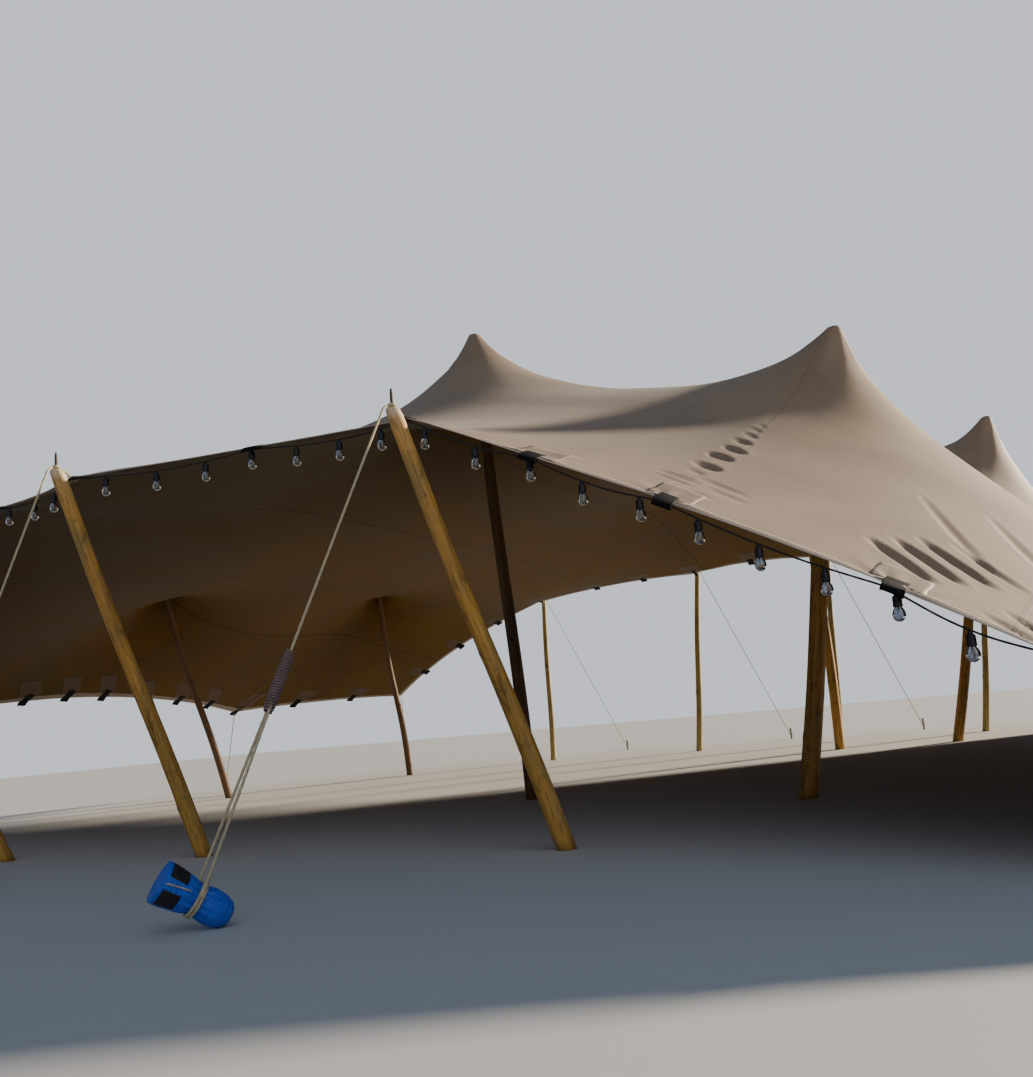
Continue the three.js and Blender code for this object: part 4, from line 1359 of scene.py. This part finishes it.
# %% [markdown]
# ## Poles
#
# A peeled trunk is never a true cylinder: it is a little oval, it swells at the knots and thins
# towards its top. Each pole is a stack of rings. The rings are sheared to the lean of the pole
# and not tilted, so foot and head stay level.

# %% Build the poles
POLE_SIDES, RING_SPACING = 32, 0.045
KNOT_SPACING, KNOT_SIZE, KNOT_SWELL = 0.42, (0.016, 0.022), 0.005
OVAL_SHARE, OVAL_TWIST, LUMP_SHARE, LUMP_SIZE, WORN_FOOT = 0.022, 1.3, 0.012, 1.4, 0.985
TOP_ROUNDING = [(0.0, 0.66), (0.004, 0.80), (0.012, 0.90), (0.030, 0.96), (0.060, 0.99)]


def knot_places(height, seed):
    """Height, direction and size of each knot."""
    chance = np.random.default_rng(seed)
    count = max(3, int(height / KNOT_SPACING))
    ranges = (0.12, height - 0.15), (0, math.tau), (0.7, 1.3)
    return [[chance.uniform(low, high) for low, high in ranges] for _ in range(count)]


def give_points(thing, name, values):
    """A number, or a place, for every point of a mesh."""
    kind, field = ("FLOAT_VECTOR", "vector") if values.shape[-1] == 3 else ("FLOAT", "value")
    attribute = thing.data.attributes.new(name, kind, "POINT")
    attribute.data.foreach_set(field, values.ravel().astype(np.float32))


def build_pole(name, foot, head, radii, bend, seed, finish, tip_length=0.0):
    height = head[2] / 1000
    rings = max(8, int(height / RING_SPACING))
    levels = np.linspace(0, 1, rings + 1)
    angles = np.arange(POLE_SIDES) * math.tau / POLE_SIDES
    rise, angle = np.meshgrid(levels, angles, indexing="ij")
    radius = (radii[0] + (radii[1] - radii[0]) * rise) / 1000
    oval = OVAL_SHARE * np.cos(2 * angle + OVAL_TWIST * rise * height + seed)
    lumps = LUMP_SHARE * seeded_waves(angle * 0.8, rise * height, seed, LUMP_SIZE)
    radius = radius * (1 + oval + lumps)
    knot = np.zeros_like(radius)
    for z, turn, size in knot_places(height, seed):
        away = np.angle(np.exp(1j * (angle - turn))) * radius
        spot = bell(away, KNOT_SIZE[0] * size) * bell(rise * height - z, KNOT_SIZE[1] * size)
        knot = np.maximum(knot, spot)
    radius = radius + KNOT_SWELL * knot
    radius[0] *= WORN_FOOT
    levels_z = rise * height
    for step, (below, share) in enumerate(TOP_ROUNDING):
        levels_z[-1 - step] = height - below
        radius[-1 - step] *= share
    stick = np.stack([radius * np.cos(angle), radius * np.sin(angle), levels_z], axis=2)
    share = (levels_z / height)[..., None]
    sway = bend * np.sin(share * math.pi) * np.cos(share * 4)
    lean = np.array([*foot, 0.0]) * (1 - share) + np.array([*head[:2], 0.0]) * share
    lean = lean + sway * np.array([1, 0.5, 0])
    points = stick + lean / 1000 + np.array(plan_shift)
    pole = mesh_object(name, points, tube_faces(rings + 1, POLE_SIDES), [finish])
    above_tip = np.clip((levels_z - (height - tip_length)) / 0.01, 0, 1)
    give_points(pole, "stick", stick)
    give_points(pole, "knot", knot)
    give_points(pole, "tip", above_tip if tip_length else np.zeros_like(knot))
    return pole


for k, (name, pole) in enumerate(KING_POLES.items()):
    # King pole 1 and the lift poles get the timber with painted shade.
    timber = golden_timber if name in ("king_pole_2", "king_pole_3", "king_pole_4") else timber_painted_shade
    shaft = build_pole(name + "_timber", pole["foot"], pole["head"], pole["radii"],
                       bend=14 + 4 * k, seed=k + 1, finish=timber)
    ride_as(shaft, "round_timber", name)
print("inner poles built")

# %% [markdown]
# ## Poles at the hem
#
# Each leans outward under the hem and ends in a steel spike that takes the rope's loop. Its last
# hand's width is bare pale wood where the tip was dressed.

# %% Build the hem poles with their spikes
FRONT_RADII, REAR_RADII = (49, 37), (40, 34)
HEM_POLE_BEND, BARE_TIP_LENGTH = 12, 0.062
SPIKE_RADIUS, SPIKE_HEIGHT = 0.008, 0.095


def turned(profile, sides, centre):
    """Points and faces of a closed turned form from (radius, height) pairs, bottom to top."""
    angles = np.arange(sides) * math.tau / sides
    points = [(radius * math.cos(a), radius * math.sin(a), height)
              for radius, height in profile for a in angles]
    return np.array(points) + np.array(centre), tube_faces(len(profile), sides)


def build_spike(name, head):
    top = SPIKE_HEIGHT
    profile = [(0.016, 0.0005), (0.016, 0.004), (SPIKE_RADIUS, 0.005), (SPIKE_RADIUS, top * 0.7),
               (SPIKE_RADIUS * 0.8, top * 0.93), (SPIKE_RADIUS * 0.35, top)]
    points, faces = turned(profile, 16, on_plan(*head))
    return mesh_object(name, points, faces, [spike_steel])


for side, poles, radii, timber in (("front", FRONT_POLES, FRONT_RADII, golden_timber),
                                   ("rear", REAR_POLES, REAR_RADII, pale_timber)):
    for k, pole in enumerate(poles):
        name = f"{side}_pole_{k + 1}"
        seed = 20 + k + 10 * (side == "rear")
        shaft = build_pole(name + "_timber", pole["foot"], pole["head"], radii,
                           HEM_POLE_BEND, seed, timber, BARE_TIP_LENGTH)
        ride_as(shaft, "round_timber", name)
        ride_as(build_spike(name + "_spike", pole["head"]), "peg_steel")
print("hem poles built")

# %% [markdown]
# ## Ropes
#
# A laid rope is three strands twisted together. Swept along its path as a round tube it would
# look like wire, so the section has three lobes that turn as the rope goes. The same sweep makes
# guys, tie-downs and the lamp cable.

# %% Sweep a laid rope
ROPE_RADIUS, ROPE_SIDES = 0.006, 12
LOOP_CLEAR, HEAD_TRIM, LINE_TRIM = 0.001, 0.012, 0.015


def rounded_route(corners, trim=0.03):
    """The route with each inner corner cut twice, so that the rope bends instead of breaking."""
    points = [Vector(p) for p in corners]
    for _ in range(2):
        eased = [points[0]]
        for before, here, after in zip(points, points[1:], points[2:]):
            back = min(trim, (here - before).length * 0.4)
            ahead = min(trim, (after - here).length * 0.4)
            eased.append(here + (before - here).normalized() * back)
            eased.append(here + (after - here).normalized() * ahead)
        eased.append(points[-1])
        points, trim = eased, trim * 0.4
    return points


def spaced(points, spacing):
    places = np.array([tuple(p) for p in points])
    lengths = np.linalg.norm(np.diff(places, axis=0), axis=1)
    run = np.insert(np.cumsum(lengths), 0, 0)
    at = np.linspace(0, run[-1], max(2, int(run[-1] / spacing) + 1))
    return np.stack([np.interp(at, run, places[:, axis]) for axis in range(3)], axis=1), at


def sweep(points, radius, sides=ROPE_SIDES, spacing=0.009, lobes=3, lobe_depth=0.16, pitch=0.045):
    """A tube with turning lobes along points: its points and faces, closed at both ends."""
    centres, run = spaced(points, spacing)
    tangents = np.gradient(centres, axis=0)
    tangents /= np.linalg.norm(tangents, axis=1, keepdims=True)
    normal = np.array([0.31, 0.22, 0.92])
    rings = []
    for centre, tangent, s in zip(centres, tangents, run):
        normal = normal - tangent * (normal @ tangent)
        normal /= np.linalg.norm(normal)
        aside = np.cross(tangent, normal)
        angle = np.arange(sides) * math.tau / sides
        lobe = 0.5 - 0.5 * np.cos(lobes * (angle - s / pitch * math.tau / lobes))
        size = radius * (1 - lobe_depth * lobe)
        around = np.cos(angle)[:, None] * normal + np.sin(angle)[:, None] * aside
        rings.append(centre + size[:, None] * around)
    return np.concatenate(rings), tube_faces(len(rings), sides)


def loop_route(centre, radius, turns=1.0, rise=0.0, start=0.0, steps=28):
    count = int(steps * turns) + 1
    route = []
    for k in range(count):
        share = k / (count - 1)
        angle = start + share * turns * math.tau
        turn = Vector((radius * math.cos(angle), radius * math.sin(angle), rise * share))
        route.append(Vector(centre) + turn)
    return route


print("rope of", ROPE_RADIUS * 2000, "mm, with", ROPE_SIDES, "sides")


# %% Routes at the head of a hem pole
def over_edge(centre, toward, pole_radius):
    out = (toward - centre) * Vector((1, 1, 0))
    out.normalize()
    steps = SPIKE_RADIUS + ROPE_RADIUS, pole_radius + 2 * ROPE_RADIUS
    return [centre + out * step for step in steps]


def head_routes(pole, pole_radius, toward):
    """The loop round the spike with its leg to the eye, and where the outer leg leaves the pole."""
    centre = on_plan(*pole["head"]) + Vector((0, 0, ROPE_RADIUS + GAP / 1000))
    eye = on_plan(*eye_of(pole))
    inner = over_edge(centre, eye, pole_radius)
    end = eye + (inner[1] - eye).normalized() * ROPE_RADIUS
    loop = loop_route(
        centre, SPIKE_RADIUS + LOOP_CLEAR + ROPE_RADIUS, turns=2.0, rise=2 * ROPE_RADIUS)
    leg = rounded_route([*inner, end], HEAD_TRIM)
    return [loop, leg], over_edge(centre, toward, pole_radius)


print("a loop of two turns has", len(loop_route((0, 0, 0), 0.02, 2.0)), "points")

# %% [markdown]
# ## Front guys
#
# From each front pole one line runs down to a wound tightening block, and from the block two
# strands go on to the padded cover of the ground stake. The block is rope wound closely round the
# guy.

# %% Build the front guys
ANCHOR_TILT, ANCHOR_SWING, ANCHOR_LIFT = math.radians(33), math.radians(-28), 0.042
ANCHOR_WAIST, ANCHOR_WAIST_RADIUS, WAIST_CLEAR, WAIST_POINTS = 0.108, 0.054, 0.0006, 49
BLOCK_RADIUS, BLOCK_LENGTH, BLOCK_PLACE = 0.026, 0.260, 0.57
LINE_INTO_BLOCK, STRANDS_INTO_BLOCK = 0.02, 0.03
WINDING = dict(radius=0.0058, sides=8, spacing=0.006, lobes=2, lobe_depth=0.12, pitch=0.02)
WINDING_PITCH, WINDING_SWELL, STEPS_PER_TURN = 0.0115, 0.35, 14


def anchor_axis(pole):
    foot = on_plan(*pole["peg"])
    out = foot - on_plan(pole["head"][0], pole["head"][1])
    out.normalize()
    out.rotate(Euler((0, 0, ANCHOR_SWING)))
    axis = out * math.cos(ANCHOR_TILT) + Vector((0, 0, math.sin(ANCHOR_TILT)))
    return foot + Vector((0, 0, ANCHOR_LIFT)), axis


def cross_directions(axis):
    first = axis.orthogonal().normalized()
    return first, axis.cross(first)


def winding_route(start, end, radius, pitch, swell):
    axis = (end - start).normalized()
    first, second = cross_directions(axis)
    length = (end - start).length
    turns = length / pitch
    count = int(turns * STEPS_PER_TURN)
    route = []
    for k in range(count + 1):
        share = k / count
        angle = share * turns * math.tau
        size = radius * (1 - swell * abs(2 * share - 1) ** 4)
        around = first * (size * math.cos(angle)) + second * (size * math.sin(angle))
        route.append(start + axis * (length * share) + around)
    return route


def build_front_guy(name, pole):
    foot, axis = anchor_axis(pole)
    waist = foot + axis * ANCHOR_WAIST
    routes, outer = head_routes(pole, FRONT_RADII[1] / 1000, waist)
    lip = outer[1]
    along = (waist - lip).normalized()
    aside = axis.cross(along).normalized()
    reach = ANCHOR_WAIST_RADIUS + ROPE_RADIUS + WAIST_CLEAR
    block_top = lip.lerp(waist, BLOCK_PLACE)
    block_end = block_top + along * BLOCK_LENGTH
    routes.append(rounded_route([*outer, block_top + along * LINE_INTO_BLOCK], LINE_TRIM))
    for side in (-1, 1):
        upper = block_end - along * STRANDS_INTO_BLOCK + aside * (side * BLOCK_RADIUS / 2)
        routes.append([upper, waist + aside * (side * reach)])
    parts = [sweep(route, ROPE_RADIUS) for route in routes]
    second = axis.cross(aside)
    for shift in (-ROPE_RADIUS, ROPE_RADIUS):
        middle = waist + axis * shift
        ring = [middle + aside * (reach * math.cos(a)) + second * (reach * math.sin(a))
                for a in np.linspace(0, math.tau, WAIST_POINTS)]
        parts.append(sweep(ring, ROPE_RADIUS))
    guy = joined_mesh(name + "_rope", parts, rope_fibre)
    wound = winding_route(
        block_top, block_end, BLOCK_RADIUS - ROPE_RADIUS, WINDING_PITCH, WINDING_SWELL)
    block = joined_mesh(name + "_wound_block", [sweep(wound, **WINDING)], wound_fibre)
    return guy, block


for k, pole in enumerate(FRONT_POLES):
    guy, block = build_front_guy(f"front_guy_{k + 1}", pole)
    ride_as(guy, "rope", f"front_guy_{k + 1}")
    ride_as(block, "rope")
print("front guys built")

# %% [markdown]
# ## Rear guys, low ties and pegs
#
# Behind, and along the low sides, plain rope goes straight from the hem to a steel peg. Each of
# these ropes is taut, so it is a stay with a fixed shape and not a free cord: it is made from end
# to end, with its two turns round the peg. The pegs are turned forms, drawn once as a profile and
# placed wherever a rope ends.

# %% Build the rear guys and the low ties
PEG_RADIUS, TIE_HEIGHT = 0.013, 0.070


def tied_to(peg, start):
    back = (start - peg) * Vector((1, 1, 0))
    back.normalize()
    return peg + back * (PEG_RADIUS + ROPE_RADIUS + LOOP_CLEAR)


def peg_loop(peg):
    centre = peg - Vector((0, 0, ROPE_RADIUS))
    return loop_route(
        centre, PEG_RADIUS + LOOP_CLEAR + ROPE_RADIUS, turns=2.0, rise=2 * ROPE_RADIUS)


for k, pole in enumerate(REAR_POLES):
    peg = on_plan(*pole["peg"], TIE_HEIGHT * 1000)
    routes, outer = head_routes(pole, REAR_RADII[1] / 1000, peg)
    routes.append(rounded_route([*outer, tied_to(peg, outer[1])], LINE_TRIM))
    routes.append(peg_loop(peg))
    parts = [sweep(route, ROPE_RADIUS) for route in routes]
    ride_as(joined_mesh(f"rear_guy_{k + 1}_rope", parts, rope_fibre), "rope", f"rear_guy_{k + 1}")
for name, tie in LOW_TIES.items():
    start = on_plan(*tie["hold"])
    peg = on_plan(*tie["peg"], TIE_HEIGHT * 1000)
    end = tied_to(peg, start)
    routes = [[start + (end - start).normalized() * ROPE_RADIUS, end], peg_loop(peg)]
    parts = [sweep(route, ROPE_RADIUS) for route in routes]
    ride_as(joined_mesh(f"{name}_line", parts, rope_fibre), "rope", f"{name}_rope")
print("rear guys and low ties built")

# %% Build the ground pegs
PEG_PROFILE = [(0.007, 0.0), (0.0125, 0.004), (0.013, 0.012), (0.013, 0.134), (0.015, 0.136),
               (0.021, 0.1365), (0.022, 0.139), (0.022, 0.147), (0.020, 0.150)]
peg_places = {f"rear_peg_{k + 1}": pole["peg"] for k, pole in enumerate(REAR_POLES)}
peg_places.update({f"{name}_peg": tie["peg"] for name, tie in LOW_TIES.items()})
for name, place in peg_places.items():
    points, faces = turned(PEG_PROFILE, 24, on_plan(*place))
    ride_as(mesh_object(name + "_steel", points, faces, [peg_steel]), "peg_steel", name)
print("pegs:", len(peg_places))

# %% [markdown]
# ## Padded stake covers
#
# A slanted stake is easy to trip over, so each wears a padded blue cover of two lobes. The longer
# lobe widens to a flat upper end, the rounded one rests on the ground, and the guy goes round the
# waist between them and gathers the cloth in soft pleats. Black panels and a thin cord are sewn
# on the longer lobe. The cover isn't turned in one line with its guy, so its pose is its own tilt
# and swing.

# %% Build the stake covers
COVER_SIDES, COVER_ROWS = 72, 70
COVER_PROFILE = [(-0.025, 0.012), (-0.0235, 0.026), (-0.018, 0.038), (-0.006, 0.050),
                 (0.010, 0.057), (0.030, 0.061), (0.050, 0.0625), (0.068, 0.061),
                 (0.084, 0.0575), (0.096, 0.0545), (0.108, 0.0532), (0.120, 0.0545),
                 (0.134, 0.060), (0.155, 0.0665), (0.185, 0.0705), (0.215, 0.0745),
                 (0.240, 0.0775), (0.2485, 0.076), (0.250, 0.071)]
COVER_SEAMS, SEAM_DEPTH, SEAM_HALF = (0.240, 0.004), 0.0022, 0.004
GATHER_DEPTH, GATHER_REACH, GATHERS, PLAIN_WAIST = 0.0035, 0.05, 13, 0.014
PUFF_DEPTH, PUFF_STRETCH, PUFF_SIZE = 0.0022, 30, 3.2
COVER_LOWEST, SEWN_LOWEST = 0.0008, 0.0016
PANEL_REACH, PANEL_EDGE, METRES_PER_RADIAN = (0.168, 0.236), 0.004, 0.06
PANEL_ANGLES = [(-2.75, -1.75), (-1.15, -0.15), (0.6, 1.5)]
CORD_REACH, CORD_ANGLES, CORD_POINTS, CORD_RADIUS = (0.236, 0.150), (-1.50, -1.30), 14, 0.003


def cover_surface(t, angle, seed):
    """Radius of the cover at height t of its axis, with pleats near the waist."""
    heights, radii = zip(*COVER_PROFILE)
    radius = np.interp(t, heights, radii)
    from_waist = abs(t - ANCHOR_WAIST)
    gathers = GATHER_DEPTH * bell(from_waist, GATHER_REACH) * np.sin(angle * GATHERS + seed)
    gathers = gathers * np.clip(from_waist / PLAIN_WAIST, 0, 1)
    seam = SEAM_DEPTH * sum(bell(t - place, SEAM_HALF) for place in COVER_SEAMS)
    puff = PUFF_DEPTH * seeded_waves(angle, t * PUFF_STRETCH, seed, PUFF_SIZE)
    return radius + gathers - seam + puff - PUFF_DEPTH


def build_cover(name, pole, seed):
    foot, axis = anchor_axis(pole)
    first, second = cross_directions(axis)
    corners = [height for height, _ in COVER_PROFILE]
    heights = np.interp(np.linspace(0, 1, COVER_ROWS), np.linspace(0, 1, len(corners)), corners)
    t, angle = np.meshgrid(heights, np.arange(COVER_SIDES) * math.tau / COVER_SIDES, indexing="ij")
    radius = cover_surface(t, angle, seed)
    rows = np.array(foot) + t[..., None] * np.array(axis)
    rows = rows + (radius * np.cos(angle))[..., None] * np.array(first)
    rows = rows + (radius * np.sin(angle))[..., None] * np.array(second)
    rows[..., 2] = np.maximum(rows[..., 2], COVER_LOWEST)
    faces = tube_faces(COVER_ROWS, COVER_SIDES)
    return mesh_object(name, rows.reshape(-1, 3), faces, [blue_cover])


def cover_frame(pole):
    """Foot, axis and two cross directions, of which the first looks up."""
    foot, axis = anchor_axis(pole)
    upward = Vector((0, 0, 1)) - axis * axis.z
    upward.normalize()
    return np.array(foot), np.array(axis), np.array(upward), np.array(axis.cross(upward))


def on_cover(pole, seed, t, angle, lift):
    """Points just outside the cover; the angle counts from its upper side."""
    foot, axis, up, side = cover_frame(pole)
    first, second = cross_directions(Vector(axis))
    t, angle = np.broadcast_arrays(np.asarray(t, float), np.asarray(angle, float))
    around = np.cos(angle)[..., None] * up + np.sin(angle)[..., None] * side
    built = np.arctan2(around @ np.array(second), around @ np.array(first))
    radius = cover_surface(t, built, seed) + lift
    points = foot + t[..., None] * axis + radius[..., None] * around
    points[..., 2] = np.maximum(points[..., 2], SEWN_LOWEST)
    return points


def cover_panel(pole, seed, angles, name, low=-0.0015, high=0.0012):
    """A panel sewn on the cover: a thin closed shell that follows it, with eased edges."""
    rows, columns = 12, 18
    bottom, top = PANEL_REACH
    t, angle = np.meshgrid(
        np.linspace(bottom, top, rows), np.linspace(*angles, columns), indexing="ij")
    from_left, from_right = angle - angles[0], angles[1] - angle
    edge = np.minimum.reduce(
        [t - bottom, top - t, METRES_PER_RADIAN * from_left, METRES_PER_RADIAN * from_right])
    lift = high * np.clip(edge / PANEL_EDGE, 0, 1)
    inner, outer = on_cover(pole, seed, t, angle, low), on_cover(pole, seed, t, angle, lift)
    points = np.concatenate([inner.reshape(-1, 3), outer.reshape(-1, 3)])
    panel = mesh_object(name, points, shell_faces(rows, columns, False), [black_cover])
    return ride_as(panel, "padded_cover")


for k, pole in enumerate(FRONT_POLES):
    label = f"front_anchor_{k + 1}"
    cover = ride_as(build_cover(label + "_cover", pole, k), "padded_cover", label)
    for n, angles in enumerate(PANEL_ANGLES):
        cover_panel(pole, k, angles, f"{label}_panel_{n + 1}")
    along_cord = np.linspace(*CORD_REACH, CORD_POINTS), np.linspace(*CORD_ANGLES, CORD_POINTS)
    route = [Vector(p) for p in on_cover(pole, k, *along_cord, CORD_RADIUS + 0.0005)]
    points, cord_faces = sweep(route, CORD_RADIUS, sides=8, spacing=0.006)
    ride_as(mesh_object(label + "_sewn_cord", points, cord_faces, [rope_fibre]), "padded_cover")
print("stake covers built")

# %% [markdown]
# ## The string of lamps
#
# A black cable is tied to the front hem and swings a little between its ties, with a black holder
# and a clear bulb every 28 centimetres. The glass is a thin shell with a filament inside, so that
# it shows bright rims and not a milky ball.

# %% Route of the lamp cable
LAMP_SPACING, LOWEST_LAMP = 0.280, 0.480
CABLE_RADIUS, CABLE_SAG, CABLE_UNDER, CABLE_FORWARD = 0.004, 0.030, 0.010, 0.002
CABLE_TIES = [-3250, -1300, 730, 4900]
CABLE_END, CABLE_STEP = 5600, 20.0


def cable_route():
    first = FRONT_POLES[-1]["u"]
    u = np.arange(first, CABLE_END, CABLE_STEP)
    points, normals = on_sheet(u, np.full_like(u, CLOTH["front"]))
    last = np.argmax(points[:, 2] < LOWEST_LAMP)
    points, normals, u = points[:last], normals[:last], u[:last]
    ties = np.array(sorted([p["u"] for p in FRONT_POLES] + FRONT_STRAPS + CABLE_TIES))
    k = np.clip(np.searchsorted(ties, u) - 1, 0, len(ties) - 2)
    share = np.clip((u - ties[k]) / (ties[k + 1] - ties[k]), 0, 1)
    route = points - normals * CABLE_UNDER
    route[:, 1] -= CABLE_FORWARD
    route[:, 2] -= CABLE_SAG * np.sin(share * math.pi)
    return route


print("the cable's route has", len(cable_route()), "points")


# %% Glass of the bulbs
def glass_finish():
    material, tree, shader = start_finish("bulb_glass", 0.04)
    shader.inputs["Transmission Weight"].default_value = 1.0
    shader.inputs["IOR"].default_value = 1.45
    season = place_effect(tree, weather, Place=surface_place(tree), Size=40.0)
    tint = blend_colour(tree, season["Cloud"], (0.96, 0.97, 0.96), (0.90, 0.91, 0.90))
    feed(tree, shader.inputs["Base Color"], tint)
    feed(tree, shader.inputs["Roughness"], remap(tree, season["Dust"], 0.0, 1.0, 0.03, 0.14))
    return material


bulb_glass = glass_finish()
print("bulb glass ready")

# %% Build the lamps
HOLDER_PROFILE = [(0.0045, -0.002), (0.0075, -0.006), (0.0085, -0.012), (0.0145, -0.017),
                  (0.0160, -0.021), (0.0160, -0.024), (0.0150, -0.0255), (0.0160, -0.027),
                  (0.0160, -0.046), (0.0168, -0.048), (0.0168, -0.052), (0.0150, -0.053)]
BULB_OUTER = [(0.0120, -0.051), (0.0135, -0.056), (0.0185, -0.064),
              (0.0220, -0.073), (0.0230, -0.081), (0.0215, -0.090),
              (0.0165, -0.098), (0.0085, -0.1035), (0.0020, -0.105)]
BULB_INNER = [(0.0010, -0.1042), (0.0080, -0.1027), (0.0157, -0.0972),
              (0.0206, -0.0895), (0.0221, -0.081), (0.0211, -0.0733),
              (0.0177, -0.0646), (0.0126, -0.0566), (0.0112, -0.052)]
FILAMENT_PROFILE = [(0.0035, -0.053), (0.0035, -0.066), (0.0012, -0.068),
                    (0.0008, -0.086), (0.0004, -0.087)]


def build_lamps():
    route = cable_route()
    cable = sweep(route, CABLE_RADIUS, sides=8, spacing=0.02, lobes=2, lobe_depth=0.10, pitch=0.06)
    lengths = np.linalg.norm(np.diff(route, axis=0), axis=1)
    run = np.insert(np.cumsum(lengths), 0, 0)
    black, glass, posts = [cable], [], []
    for at in np.arange(LAMP_SPACING / 2, run[-1], LAMP_SPACING):
        top = [float(np.interp(at, run, route[:, axis])) for axis in range(3)]
        black.append(turned(HOLDER_PROFILE, 18, top))
        glass.append(turned(BULB_OUTER + BULB_INNER, 20, top))
        posts.append(turned(FILAMENT_PROFILE, 8, top))
    return black, glass, posts


black, glass, posts = build_lamps()
ride_as(joined_mesh("lamp_cable_and_holders", black, rubber), "lamp_cable", "string_lights")
ride_as(joined_mesh("lamp_bulbs", glass, bulb_glass), "lamp_cable")
ride_as(joined_mesh("lamp_filaments", posts, peg_steel), "lamp_cable")
print("lamps:", len(glass))

# %% [markdown]
# ## The size of the sheet
#
# The solids stand in for the cloth as one stiff form. Flat, the sheet is 12.2 by 10.3 metres.

print("the sheet is 12.2 by 10.3 m flat")
